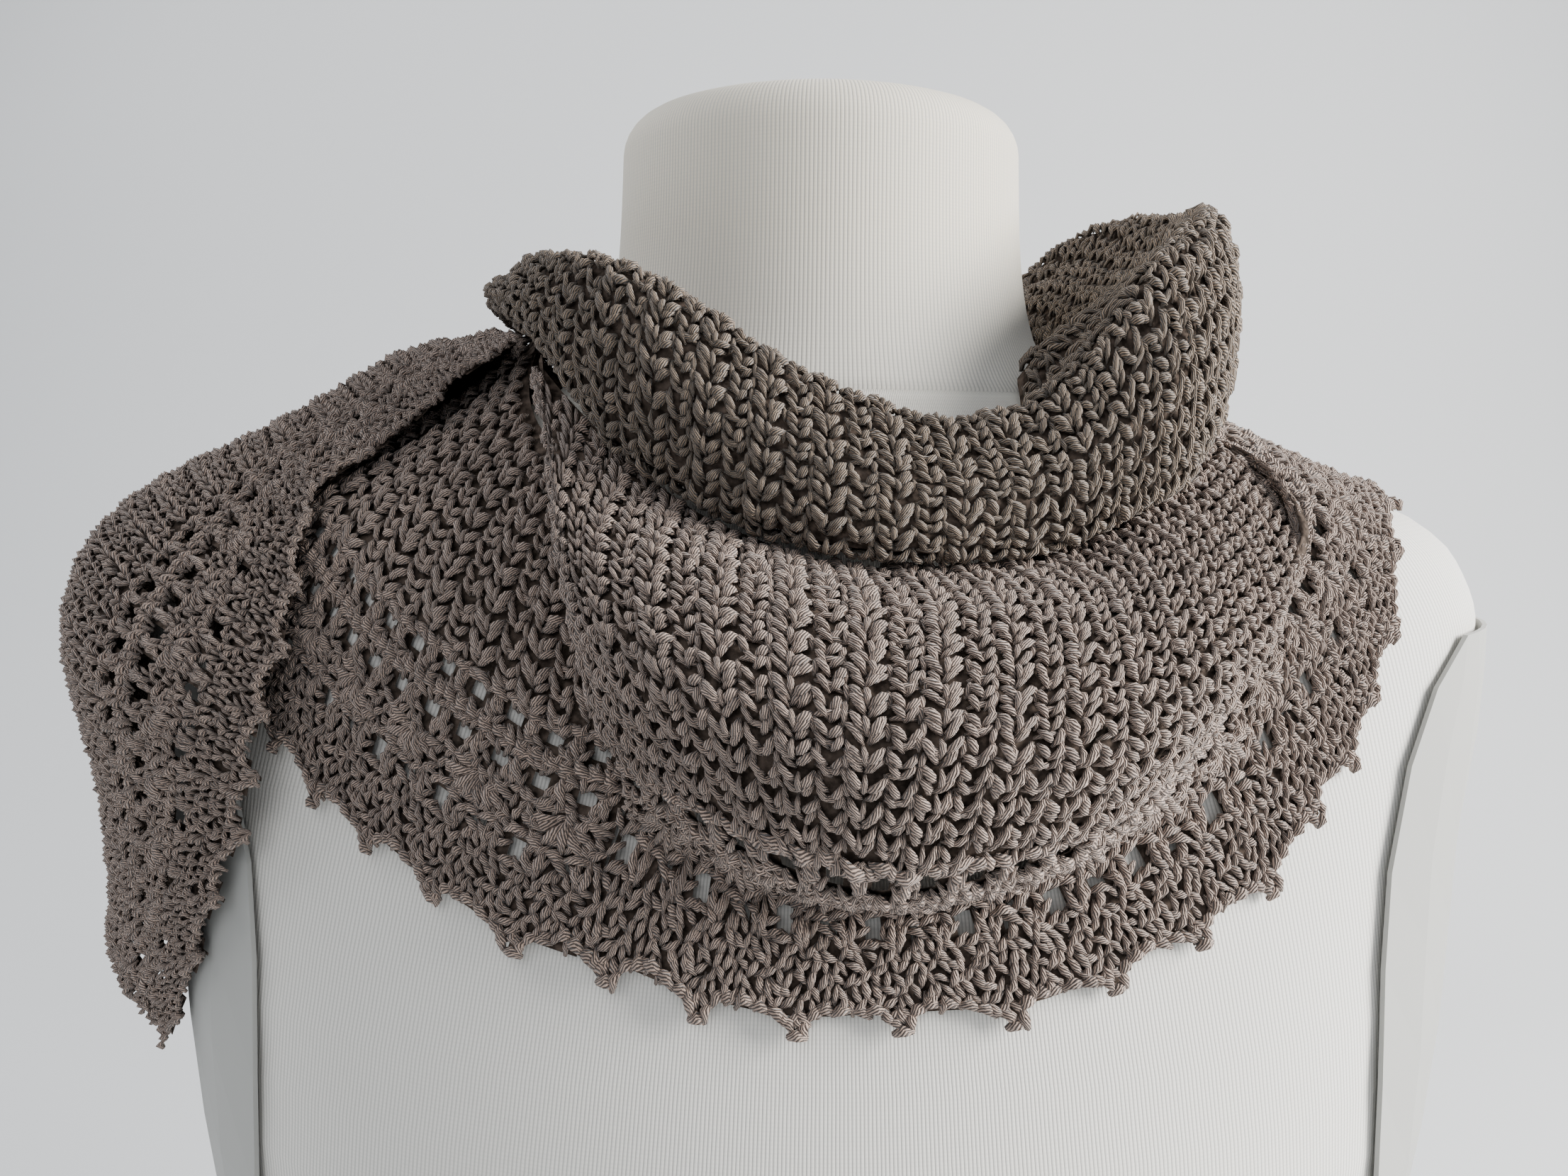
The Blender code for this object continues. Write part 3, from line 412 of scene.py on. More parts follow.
def roll_section(azimuth):
    """Points through the wall of the neck roll, from its foot inside to its tucked edge."""
    table = columns(ROLL_SECTIONS + tuple((row[0] + 360, *row[1:]) for row in ROLL_SECTIONS))
    place = turned(azimuth)
    top_r, top_z, low_r, low_z = (curve(place, table[0], table[k]) for k in range(1, 5))
    foot_height = min(ROLL_FOOT, top_z - ROLL_FOOT_DROP)
    foot = on_form(azimuth, length_at(azimuth, foot_height), REST + CLOTH)
    foot_r, foot_z = math.hypot(foot[0], foot[1]), foot[2]
    fold = ROLL_FOLD
    spine = [
        (foot_r, foot_z),
        (foot_r + 0.30 * (top_r - foot_r) - 1.0, foot_z + 0.45 * (top_z - foot_z)),
        (top_r - 2 * fold, top_z - 2.2 * fold),
        (top_r - fold, top_z - 0.5 * fold),
        (top_r, top_z),
        (top_r + fold, top_z - 1.1 * fold),
        (0.5 * (top_r + fold + low_r) + ROLL_FULL, 0.5 * (top_z + low_z)),
        (low_r, low_z + 4.0),
        (low_r - 3.0, low_z),
        (low_r - 9.0, low_z + 1.0),
        (low_r - 16.0, low_z + 5.0),
    ]
    return [polar(azimuth, radius, height) for radius, height in spine]


def roll_face(start, end):
    """Outer face of one stretch of the roll."""
    azimuths = np.linspace(start, end, int((end - start) / ROLL_STEP) + 1)
    steps = np.linspace(0, 1, ROLL_ROWS)
    sections = [roll_section(azimuth) for azimuth in azimuths]
    return np.array([[along(section, step) for section in sections] for step in steps])


def drape_lines(station):
    """The four lines of the drape at a station."""
    places = np.arange(len(DRAPE_TOP), dtype=float)
    points = []
    for line in (DRAPE_TOP, DRAPE_CROWN, DRAPE_BELLY, DRAPE_EYELET):
        azimuth, radius, height = (curve(station, places, values) for values in columns(line))
        points.append(polar(azimuth, radius, height))
    return points


def drape_point(station, amount):
    """Outer face of the drape, from under the roll to the eyelets."""
    return along(drape_lines(station), amount)


def hem_height(azimuth):
    """Height of the hem where the cloth lies on the form."""
    place = (azimuth - HEM[0][0]) % 360 + HEM[0][0]
    return curve(place, *columns(HEM))


def hem_places():
    """Azimuths round the hem and the place of each, counted in repeats of the border."""
    azimuths = np.arange(HEM[0][0], HEM[0][0] + 361.0, 2.0)
    points = np.array([on_form(azimuth, length_at(azimuth, hem_height(azimuth)), REST)
                       for azimuth in azimuths])
    steps = np.linalg.norm(np.diff(points, axis=0), axis=1)
    places = np.concatenate(([0.0], np.cumsum(steps))) / REPEAT
    seen = columns(PICOTS)[0]
    first, last = np.interp(seen[[0, -1]], azimuths, places)
    numbers = FIRST_PICOT + PICOT_PLACE + np.arange(len(seen))
    places = np.where(azimuths < seen[0], places - first + numbers[0],
                      np.where(azimuths > seen[-1], places - last + numbers[-1],
                               np.interp(azimuths, seen, numbers)))
    return azimuths, places


HEM_PLACES = hem_places()


def hem_azimuth(place):
    """Azimuth of a place on the hem."""
    azimuths, places = HEM_PLACES
    return float(np.interp(place, places, azimuths))


def crease_length(azimuth):
    """Length down the form at which the lifted lace comes down on it."""
    return length_at(azimuth, curve(azimuth, *columns(CREASE)))


def station_hem(station):
    """Azimuth in which a station of the drape reaches the hem."""
    azimuths = np.array(DRAPE_HEM, dtype=float)
    azimuths[0] = hem_azimuth(FRONT_FIRST)
    azimuths[-1] = hem_azimuth(RIGHT_FIRST)
    return curve(station, np.arange(len(azimuths), dtype=float), azimuths)


STATIONS = np.linspace(0, len(DRAPE_TOP) - 1, 121)
STATION_HEMS = station_hem(STATIONS)


def station_of(place):
    """Station of the drape whose hem lies at a place."""
    return float(np.interp(hem_azimuth(place), STATION_HEMS, STATIONS))


def front_lace_point(station, reach):
    """Outer face of the front lace: 0 at the eyelets, 1 at the crease, 2 at the picots."""
    eyelet = drape_point(station, 1.0)
    before = drape_point(station, LEAD_FROM)
    start = math.degrees(math.atan2(eyelet[0], -eyelet[1]))
    end = float(station_hem(station))
    lift = REST + CLOTH
    if reach <= 1.0:
        azimuth = (start + end) / 2
        crease = on_form(azimuth, crease_length(azimuth), lift)
        lead = (eyelet - before) / np.linalg.norm(eyelet - before)
        handle = eyelet + lead * np.linalg.norm(crease - eyelet) * LEAD_REACH
        return ((1 - reach) ** 2 * eyelet + 2 * reach * (1 - reach) * handle
                + reach ** 2 * crease)
    azimuth = start + (end - start) * reach / 2
    crease = crease_length(azimuth)
    hem = length_at(azimuth, hem_height(azimuth))
    return on_form(azimuth, crease + (reach - 1.0) * (hem - crease), lift)


def wrap_table():
    """The rows of the wrap; its first hem azimuth is where the front lace ends."""
    table = columns(WRAP)
    table[3][0] = hem_azimuth(RIGHT_FIRST)
    return table


WRAP_TABLE = wrap_table()


def wrap_row(station):
    """Azimuths at the top, eyelets and hem of the wrap, and the height of its top."""
    return [float(curve(station, WRAP_TABLE[0], WRAP_TABLE[k])) for k in range(1, 5)]


def neck_lift(azimuth, amount):
    """How far the left shoulder's cloth climbs off the form towards the neck."""
    lift = NECK_LIFT * closeness(azimuth, NECK_LIFT_AZIMUTH, NECK_LIFT_SPREAD)
    return lift * max(0.0, 1.0 - amount / NECK_LIFT_END) ** 1.5


def shoulder_fold(azimuth, height):
    """How far the cloth stands off the top of the right shoulder."""
    lift = FOLD_LIFT * closeness(azimuth, FOLD_AZIMUTH, FOLD_AZIMUTH_SPREAD)
    return lift * math.exp(-((height - FOLD_HEIGHT) / FOLD_HEIGHT_SPREAD) ** 2)


def height_at(azimuth, length):
    """Height at a length down the form's surface."""
    return float(np.interp(length, profile(azimuth)[1], PROFILE_HEIGHTS))


def wrap_fade(station):
    """How much of the drape's fullness is left at a station of the wrap."""
    amount = min(max((station - WRAP[0][0]) / WRAP_FADE, 0.0), 1.0)
    return 1.0 - amount * amount * (3 - 2 * amount)


WRAP_STATIONS = np.linspace(WRAP[0][0], WRAP[-1][0], 241)
WRAP_HEMS = curve(WRAP_STATIONS, WRAP_TABLE[0], WRAP_TABLE[3])


def wrap_station(place):
    """Station of the wrap whose hem lies at a place."""
    azimuth = hem_azimuth(place)
    if azimuth < WRAP_HEMS[0] - 1.0:
        azimuth += 360
    return float(np.interp(azimuth, WRAP_HEMS, WRAP_STATIONS))


def wrap_body_flat(station, amount):
    """Outer face of the wrap as it lies on the form, from its top to its eyelets."""
    top_azimuth, eyelet_azimuth, _, top_height = wrap_row(station)
    azimuth = top_azimuth + (eyelet_azimuth - top_azimuth) * amount
    top = length_at(azimuth, top_height)
    eyelet = length_at(azimuth, hem_height(azimuth)) - LACE
    length = top + (eyelet - top) * amount
    lift = WRAP_REST + CLOTH + neck_lift(azimuth, amount)
    return on_form(azimuth, length, lift + shoulder_fold(azimuth, height_at(azimuth, length)))


def wrap_body_point(station, amount):
    """Outer face of the wrap, which leaves the drape smoothly."""
    point = wrap_body_flat(station, amount)
    fade = wrap_fade(station)
    if fade > 0:
        first = WRAP[0][0]
        point = point + fade * (drape_point(first, amount) - wrap_body_flat(first, amount))
    return point


def wrap_lace_flat(station, reach):
    """Outer face of the wrap's lace as it lies on the form."""
    _, start, end, _ = wrap_row(station)
    azimuth = start + (end - start) * reach / 2
    length = length_at(azimuth, hem_height(azimuth)) - LACE * (1 - reach / 2)
    fold = shoulder_fold(azimuth, height_at(azimuth, length))
    return on_form(azimuth, length, REST + CLOTH + fold)


def wrap_lace_point(station, reach):
    """Outer face of the wrap's lace, which leaves the front lace smoothly."""
    point = wrap_lace_flat(station, reach)
    fade = wrap_fade(station)
    if fade > 0:
        first = WRAP[0][0]
        point = point + fade * (front_lace_point(first, reach) - wrap_lace_flat(first, reach))
    return point


def fold_edge(point, right, out, radius, turn):
    """A point on the rounded left edge of the drape, which turns under."""
    return point - right * radius * math.sin(turn) - out * radius * (1 - math.cos(turn))


def drape_face():
    """Outer face of the drape with its rounded left edge."""
    last = len(DRAPE_TOP) - 1
    fold_turns = np.radians(FOLD_TURNS)
    stations = np.linspace(0, last, DRAPE_COLUMNS)
    rows = []
    for amount in np.linspace(0.0, 1.0, DRAPE_ROWS):
        line = [drape_point(station, amount) for station in stations]
        right = line[1] - line[0]
        right /= np.linalg.norm(right)
        down = drape_point(0, min(amount + 0.05, 1.0)) - drape_point(0, max(amount - 0.05, 0.0))
        out = np.cross(down, right)
        out /= np.linalg.norm(out)
        radius = float(curve(amount, np.array(FOLD_PLACES), np.array(FOLD_RADIUS)))
        rows.append([fold_edge(line[0], right, out, radius, turn) for turn in fold_turns] + line)
    return np.array(rows)


def body_face(first, last, spans, rows):
    """Outer face of a stretch of the wrap's body between two places."""
    stations = np.linspace(wrap_station(first), wrap_station(last), spans + 1)
    return np.array([[wrap_body_point(station, amount) for station in stations]
                     for amount in np.linspace(0, 1, rows + 1)])


def hidden_face(first, last):
    """Outer face of the plain stretch under the flap, from its top to its hem."""
    face = []
    for amount in np.linspace(0.0, 1.0, 9):
        row = []
        for station in np.linspace(wrap_station(first), wrap_station(last), 8):
            azimuth, _, _, top_height = wrap_row(station)
            top = length_at(azimuth, top_height)
            hem = length_at(azimuth, hem_height(azimuth)) - PICOT
            lift = 2 * REST + CLOTH + neck_lift(azimuth, amount * HIDDEN_BODY)
            row.append(on_form(azimuth, top + (hem - top) * amount, lift))
        face.append(row)
    return np.array(face)


def flap_point(across, down):
    """Outer face of the flap: across from its front edge, down from the neck to the hem."""
    table = columns(FLAP)
    steps = np.linspace(0, 1, len(FLAP))
    row = [float(curve(down, steps, values)) for values in table]
    places = np.array((0.0, FLAP_SIDE, 1.0))
    azimuth = curve(across, places, np.array((row[0], -90.0, row[5])))
    radius = curve(across, places, np.array((row[1], row[3], row[6])))
    height = curve(across, places, np.array((row[2], row[4], row[7])))
    return polar(azimuth, radius, height)


def flap_face():
    """Outer face of the flap's body; its rows run from front to back."""
    return np.array([[flap_point(place, down) for place in np.linspace(1.0, FLAP_LACE, 15)]
                     for down in np.linspace(0, 1, 34)])


def lace_face(point_at, first, repeats):
    """Outer face of a border, from the eyelets to the picots."""
    places = first + np.arange(repeats * LACE_COLUMNS + 1) / LACE_COLUMNS
    return np.array([[point_at(place, reach) for place in places] for reach in LACE_REACHES])


def front_at(place, reach):
    """A point of the front lace by its place in the border."""
    return front_lace_point(station_of(place), reach)


def wrap_at(place, reach):
    """A point of the wrap's lace by its place in the border."""
    return wrap_lace_point(wrap_station(place), reach)


def flap_at(place, reach):
    """A point of the flap's lace by its place in the border."""
    return flap_point(FLAP_LACE * (1 - reach / 2), 1.0 - place / FLAP_REPEATS)


def spline(values, places):
    """Smooth values between the rows of an array, at places counted in rows."""
    count = len(values)
    i = np.clip(np.floor(places).astype(int), 0, count - 2)
    t = (places - i).reshape((-1,) + (1,) * (values.ndim - 1))
    before = values[np.maximum(i - 1, 0)]
    after = values[np.minimum(i + 2, count - 1)]
    a, b = values[i], values[i + 1]
    return 0.5 * (2 * a + (b - before) * t + (2 * before - 5 * a + 4 * b - after) * t * t
                  + (3 * a - before - 3 * b + after) * t ** 3)


class Surface:
    """A smooth face of cloth. Its mean lines down and across measure it in millimetres."""

    def __init__(self, face, finer=3):
        rows, cols = face.shape[:2]
        face = spline(face, np.linspace(0, rows - 1, (rows - 1) * finer + 1))
        face = spline(face.swapaxes(0, 1), np.linspace(0, cols - 1, (cols - 1) * finer + 1))
        self.points = face.swapaxes(0, 1)
        down = np.gradient(self.points, axis=0)
        right = np.gradient(self.points, axis=1)
        normals = np.cross(down, right)
        self.normals = normals / np.linalg.norm(normals, axis=2, keepdims=True)
        steps = np.linalg.norm(np.diff(self.points, axis=0), axis=2).mean(axis=1)
        self.down = np.concatenate(([0.0], np.cumsum(steps)))
        steps = np.linalg.norm(np.diff(self.points, axis=1), axis=2).mean(axis=0)
        self.across = np.concatenate(([0.0], np.cumsum(steps)))

    def cut(self):
        """The flat cut: mean width and length, and the area of the cloth, in metres."""
        diagonals = np.cross(self.points[1:, 1:] - self.points[:-1, :-1],
                             self.points[1:, :-1] - self.points[:-1, 1:])
        width, length = self.across[-1] * MM, self.down[-1] * MM
        area = np.linalg.norm(diagonals, axis=2).sum() / 2 * MM * MM
        return width, length, min(area, width * length)

    def at(self, down, across, height):
        """Points at millimetres down and across, lifted by a height off the face."""
        rows = np.interp(down, self.down, np.arange(len(self.down)))
        cols = np.interp(across, self.across, np.arange(len(self.across)))
        i = np.clip(rows.astype(int), 0, len(self.down) - 2)
        j = np.clip(cols.astype(int), 0, len(self.across) - 2)
        s, t = (rows - i)[:, None], (cols - j)[:, None]

        def mix(grid):
            return ((grid[i, j] * (1 - t) + grid[i, j + 1] * t) * (1 - s)
                    + (grid[i + 1, j] * (1 - t) + grid[i + 1, j + 1] * t) * s)

        # points past an edge go on straight along the surface
        past_down = (down - np.clip(down, 0, self.down[-1]))[:, None]
        past_across = (across - np.clip(across, 0, self.across[-1]))[:, None]
        line_down = self.points[i + 1, j] - self.points[i, j]
        line_down /= np.linalg.norm(line_down, axis=1, keepdims=True)
        line_across = self.points[i, j + 1] - self.points[i, j]
        line_across /= np.linalg.norm(line_across, axis=1, keepdims=True)
        return (mix(self.points) + mix(self.normals) * height[:, None]
                + past_down * line_down + past_across * line_across)


def mesh_object(name, points, faces, finish, uv=None, tone=None):
    """One smooth mesh from points in millimetres and faces of one or more sizes."""
    mesh = bpy.data.meshes.new(name)
    mesh.vertices.add(len(points))
    mesh.vertices.foreach_set("co", (np.asarray(points) * MM).astype(np.float32).ravel())
    sizes = np.concatenate([np.full(len(group), group.shape[1]) for group in faces])
    corners = np.concatenate([group.ravel() for group in faces])
    mesh.loops.add(len(corners))
    mesh.loops.foreach_set("vertex_index", corners.astype(np.int32))
    mesh.polygons.add(len(sizes))
    starts = np.concatenate(([0], np.cumsum(sizes)[:-1]))
    mesh.polygons.foreach_set("loop_start", starts.astype(np.int32))
    mesh.polygons.foreach_set("use_smooth", np.ones(len(sizes), dtype=bool))
    if uv is not None:
        layer = mesh.uv_layers.new(name="yarn")
        layer.data.foreach_set("uv", uv[corners].astype(np.float32).ravel())
    if tone is not None:
        layer = mesh.attributes.new("tone", "FLOAT", "POINT")
        layer.data.foreach_set("value", tone.astype(np.float32))
    mesh.update(calc_edges=True)
    mesh.validate()
    mesh.materials.append(finish)
    thing = bpy.data.objects.new(name, mesh)
    bpy.context.collection.objects.link(thing)
    return thing


def grid_faces(rows, cols, keep=None):
    """Quads of a grid, facing outward, without the cells that are cut."""
    i, j = np.meshgrid(np.arange(rows - 1), np.arange(cols - 1), indexing="ij")
    if keep is not None:
        i, j = i[keep], j[keep]
    first = (i * cols + j).ravel()
    return np.stack((first, first + cols, first + cols + 1, first + 1), axis=1)


def backing(name, surface, finish, keep=None):
    """The thin shell of cloth that the stitches stand on; its near-black finish is painted shade between
    them.
    """
    points = surface.points - surface.normals * BACKING
    rows, cols = points.shape[:2]
    faces = grid_faces(rows, cols, keep)
    used = np.unique(faces)
    numbers = np.zeros(rows * cols, dtype=int)
    numbers[used] = np.arange(len(used))
    across = np.broadcast_to(surface.across[None, :], (rows, cols)).ravel()[used]
    down = np.broadcast_to(surface.down[:, None], (rows, cols)).ravel()[used]
    return mesh_object(name, points.reshape(-1, 3)[used], [numbers[faces]], finish,
                       uv=np.stack((across, down), axis=1))


def lace_strands():
    """The strands of one repeat, with the leaning ones that fill it between its gaps."""
    rng = np.random.default_rng(7)
    rows = list(LACE_STITCH)
    edge_along, edge_out = columns(LACE_EDGE)
    for row, out in enumerate(np.arange(FILL_FIRST_ROW, max(edge_out), FILL_ROW)):
        for column in range(int(REPEAT / FILL_STEP)):
            along = (column + 0.5 * (row % 2)) * FILL_STEP + rng.uniform(-0.5, 0.5)
            place = along % REPEAT
            in_gap = any(first - GAP_SIDE < place < last + GAP_SIDE
                         and low - GAP_END < out < high + GAP_END
                         for first, last, low, high in LACE_GAPS)
            if in_gap or out > np.interp(place, edge_along, edge_out) - EDGE_MARGIN:
                continue
            lean = rng.uniform(0.2, 1.2) * rng.choice((-1, 1))
            side = FILL_LENGTH / 2 * math.sin(lean)
            onward = FILL_LENGTH / 2 * math.cos(lean)
            rows.append((along - side, out - onward, along + side, out + onward,
                         rng.uniform(-0.5, 0.5), -0.2, rng.uniform(0.7, 1.5), -0.1,
                         FILL_RADIUS * rng.uniform(0.85, 1.15)))
    return rows


def strand_template(table, wide, tall, sides, rings):
    """Tubes for one motif, in millimetres across, down and out, with yarn coordinates."""
    points, yarn, strand = [], [], []
    turns = np.arange(sides) * 2 * math.pi / sides
    for number, row in enumerate(table):
        start = np.array((row[0] * wide, row[1] * tall, row[5]))
        end = np.array((row[2] * wide, row[3] * tall, row[7]))
        run = end - start
        side = np.array((run[1], -run[0], 0.0)) / max(math.hypot(run[0], run[1]), 0.1)
        middle = (start + end) / 2 + side * row[4]
        middle[2] = row[6]
        control = 2 * middle - (start + end) / 2
        steps = np.linspace(0, 1, rings)
        length = np.linalg.norm(run)
        for step in steps:
            centre = ((1 - step) ** 2 * start + 2 * step * (1 - step) * control
                      + step ** 2 * end)
            tangent = 2 * (1 - step) * (control - start) + 2 * step * (end - control)
            tangent /= np.linalg.norm(tangent)
            lateral = np.cross(tangent, (0.0, 0.0, 1.0))
            lateral /= np.linalg.norm(lateral)
            upward = np.cross(lateral, tangent)
            fullness = math.sin(math.pi * step) ** STRAND_FILL
            radius = row[8] * (STRAND_END + (1 - STRAND_END) * fullness)
            for turn in turns:
                points.append(centre + radius * (math.cos(turn) * lateral
                                                 + STRAND_ROUND * math.sin(turn) * upward))
                yarn.append((turn / (2 * math.pi), length * step))
                strand.append(number)
    quads, caps = [], []
    for number in range(len(table)):
        base = number * sides * rings
        for ring in range(rings - 1):
            for k in range(sides):
                a = base + ring * sides + k
                b = base + ring * sides + (k + 1) % sides
                quads.append((a, a + sides, b + sides, b))
        caps.append([base + k for k in range(sides)])
        caps.append([base + (rings - 1) * sides + k for k in reversed(range(sides))])
    return (np.array(points), np.array(yarn), np.array(strand), np.array(quads),
            np.array(caps))


def stitches(name, surface, template, cells, finish, seed, swap=False):
    """Every motif of one stretch, laid over its surface in one mesh.

    cells lists where each motif starts: millimetres across and down, and its stretch in
    both directions. swap turns the rows so that they run from side to side.
    """
    points, yarn, strand, quads, caps = template
    rng = np.random.default_rng(seed)
    count, size, strands = len(cells), len(points), strand.max() + 1
    across = points[None, :, 0] * cells[:, 2:3] + cells[:, 0:1]
    down = points[None, :, 1] * cells[:, 3:4] + cells[:, 1:2]
    height = np.repeat(points[None, :, 2], count, axis=0) - SINK
    shift = rng.normal(0.0, LOOSE, (count, strands, 3))[:, strand]
    across = across + shift[..., 0]
    down = down + shift[..., 1]
    height = height + 0.6 * shift[..., 2]
    # each strand turned a little about its own middle
    middle = np.array([points[strand == k].mean(axis=0) for k in range(strands)])[strand]
    turn = rng.normal(0.0, TURN, (count, strands))[:, strand]
    across = across + turn * (points[:, 1] - middle[:, 1])
    down = down - turn * (points[:, 0] - middle[:, 0])
    # slow waves
    wave = rng.uniform(0, 2 * math.pi, 4)
    across = (across + SWAY * np.sin(down / SWAY_LENGTH + wave[0])
              + DRIFT * np.sin(across / DRIFT_LENGTH + wave[1]))
    height = height + (SWELL * np.sin(across / SWELL_ACROSS + wave[2])
                       * np.sin(down / SWELL_DOWN + wave[3]))
    if swap:
        across, down = down, across
    placed = surface.at(down.ravel(), across.ravel(), height.ravel())
    offsets = (np.arange(count) * size)[:, None, None]
    uv = np.repeat(yarn[None], count, axis=0)
    uv[..., 1] += rng.uniform(0, 50, (count, strands))[:, strand]
    tone = rng.uniform(0, 1, (count, strands))[:, strand]
    groups = [(quads[None] + offsets).reshape(-1, 4),
              (caps[None] + offsets).reshape(-1, caps.shape[1])]
    if swap:
        groups = [group[:, ::-1] for group in groups]
    return mesh_object(name, placed, groups, finish, uv=uv.reshape(-1, 2), tone=tone.ravel())


def body_cells(length_across, length_down, pair, seed):
    """Motifs in rows: one column of motifs for every two rows of crochet."""
    rng = np.random.default_rng(seed)
    columns_count = max(int(round(length_across / pair)), 1)
    rows_count = max(int(round(length_down / STITCH)), 1)
    wide, tall = length_across / columns_count, length_down / rows_count
    cells = []
    for column in range(columns_count):
        start = rng.uniform(-0.5, 0.5)
        for row in range(rows_count):
            cells.append((column * wide, (row + start) * tall, wide / pair, tall / STITCH))
    return np.array(cells)


def lace_cells(surface, repeats):
    """One motif for each repeat of a border."""
    length = surface.down[-1]
    edges = np.interp(np.arange(repeats + 1) / repeats * (len(surface.across) - 1),
                      np.arange(len(surface.across)), surface.across)
    return np.array([(edges[k], 0.0, (edges[k + 1] - edges[k]) / REPEAT, length / LACE)
                     for k in range(repeats)])


def lace_keep(surface, repeats):
    """Cells of a border's shell that stay: gaps are open, and so is the scalloped edge."""
    cols = len(surface.across)
    out = (surface.down[:-1] + surface.down[1:]) / 2 / surface.down[-1] * LACE
    along = (np.arange(cols - 1) + 0.5) / (cols - 1) * repeats % 1.0 * REPEAT
    out, along = np.meshgrid(out, along, indexing="ij")
    keep = out < np.interp(along, *columns(LACE_EDGE))
    for first, last, low, high in LACE_GAPS:
        keep[(along > first) & (along < last) & (out > low) & (out < high)] = False
    return keep

# Materials

# Colours as linear red, green and blue: of yarn between its plies, where the dark is painted shade, and
# along their tops, and of jersey on its face, in its gaps, where the dark is painted shade, and where it
# has yellowed
YARN = ((0.046, 0.029, 0.021), (0.51, 0.370, 0.292))
# a darker, warmer copy of the yarn for the neck roll: painted shade on the roll
ROLL_YARN_PAINTED_SHADE = ((0.030, 0.020, 0.012), (0.30, 0.214, 0.144))
BORDER_YARN = ((0.048, 0.031, 0.023), (0.50, 0.362, 0.286))
# near-black yarn of the shells under the stitches: painted shade between and behind the strands
SHADE_BEHIND_STITCHES = ((0.022, 0.016, 0.012), (0.12, 0.09, 0.072))
JERSEY = ((0.80, 0.79, 0.755), (0.46, 0.45, 0.42), (0.72, 0.66, 0.54))
# a darker copy of the jersey for the side plates: painted shade on the sides that turn away
PLATE_PAINTED_SHADE = ((0.60, 0.60, 0.58), (0.36, 0.36, 0.34), (0.54, 0.53, 0.50))
YARN_PLIES = (9.0, 0.78, 0.6)   # plies round the strand, their twist for each mm, their fuzz
NECK_AGES = (0.545, 0.605)      # heights in metres between which the jersey turns yellow


def feed(tree, socket, value):
    """Link a socket to another, or give it a number or a colour."""
    if isinstance(value, bpy.types.NodeSocket):
        tree.links.new(value, socket)
    elif isinstance(value, tuple):
        socket.default_value = (*value, 1.0)
    else:
        socket.default_value = value


def add_node(tree, kind, inputs=None):
    """A shader node with some of its inputs fed."""
    node = tree.nodes.new("ShaderNode" + kind)
    for name, value in (inputs or {}).items():
        feed(tree, node.inputs[name], value)
    return node


def math_node(tree, operation, *values):
    """The outcome of a Math node."""
    node = add_node(tree, "Math")
    node.operation = operation
    for socket, value in zip(node.inputs, values):
        feed(tree, socket, value)
    return node.outputs[0]


def noise_node(tree, scale, detail):
    """Noise through the object's own space."""
    place = add_node(tree, "TexCoord").outputs["Object"]
    return add_node(tree, "TexNoise", {"Vector": place, "Scale": scale, "Detail": detail}).outputs["Fac"]


def yarn_coordinates(tree):
    """The two yarn coordinates of a mesh."""
    uv = add_node(tree, "UVMap")
    uv.uv_map = "yarn"
    split = add_node(tree, "SeparateXYZ", {"Vector": uv.outputs["UV"]})
    return split.outputs[0], split.outputs[1]


def ramp_node(tree, amount, low, dark, high, light):
    """The colour between two stops: a place and a colour each."""
    ramp = add_node(tree, "ValToRGB", {"Fac": amount})
    for stop, place, colour in zip(ramp.color_ramp.elements, (low, high), (dark, light)):
        stop.position = place
        stop.color = (*colour, 1.0)
    return ramp.outputs["Color"]


def mix_node(tree, amount, first, second):
    """The colour between two others."""
    node = add_node(tree, "Mix")
    node.data_type = "RGBA"
    for number, value in ((0, amount), (6, first), (7, second)):
        feed(tree, node.inputs[number], value)
    return node.outputs[2]


def finish_material(made, colour, height, strength, distance, others):
    """Colour, relief and the other values of a material's surface."""
    tree = made.node_tree
    bump = add_node(tree, "Bump", {"Height": height, "Strength": strength, "Distance": distance})
    shader = tree.nodes["Principled BSDF"]
    for name, value in {"Base Color": colour, "Normal": bump.outputs["Normal"], **others}.items():
        feed(tree, shader.inputs[name], value)
    return made


def new_material(name):
    """An empty material with a Principled surface, and its nodes."""
    made = bpy.data.materials.new(name)
    made.use_nodes = True
    return made, made.node_tree


def plied_yarn():
    """Group: twisted plies of a yarn from its own coordinates, as a height and a shade; the shade paints
    the darkness between the plies, with a random grain.
    """
    group = bpy.data.node_groups.new("plied_yarn", "ShaderNodeTree")
    for name in ("Plies", "Twist", "Fuzz"):
        group.interface.new_socket(name=name, in_out="INPUT", socket_type="NodeSocketFloat")
    for name in ("Height", "Shade"):
        group.interface.new_socket(name=name, in_out="OUTPUT", socket_type="NodeSocketFloat")
    inside = group.nodes.new("NodeGroupInput")
    outside = group.nodes.new("NodeGroupOutput")
    around, onward = yarn_coordinates(group)
    noise = noise_node(group, 900.0, 2.0)
    around = math_node(group, "MULTIPLY", around, inside.outputs["Plies"])
    onward = math_node(group, "MULTIPLY", onward, inside.outputs["Twist"])
    shake = math_node(group, "MULTIPLY", noise, inside.outputs["Fuzz"])
    phase = math_node(group, "ADD", math_node(group, "ADD", around, onward), shake)
    wave = math_node(group, "SINE", math_node(group, "MULTIPLY", phase, 2 * math.pi))
    height = math_node(group, "MULTIPLY_ADD", wave, 0.5, 0.5)
    grain = math_node(group, "MULTIPLY_ADD", noise, 0.5, -0.25)
    feed(group, outside.inputs["Height"], height)
    feed(group, outside.inputs["Shade"], math_node(group, "ADD", height, grain))
    return group


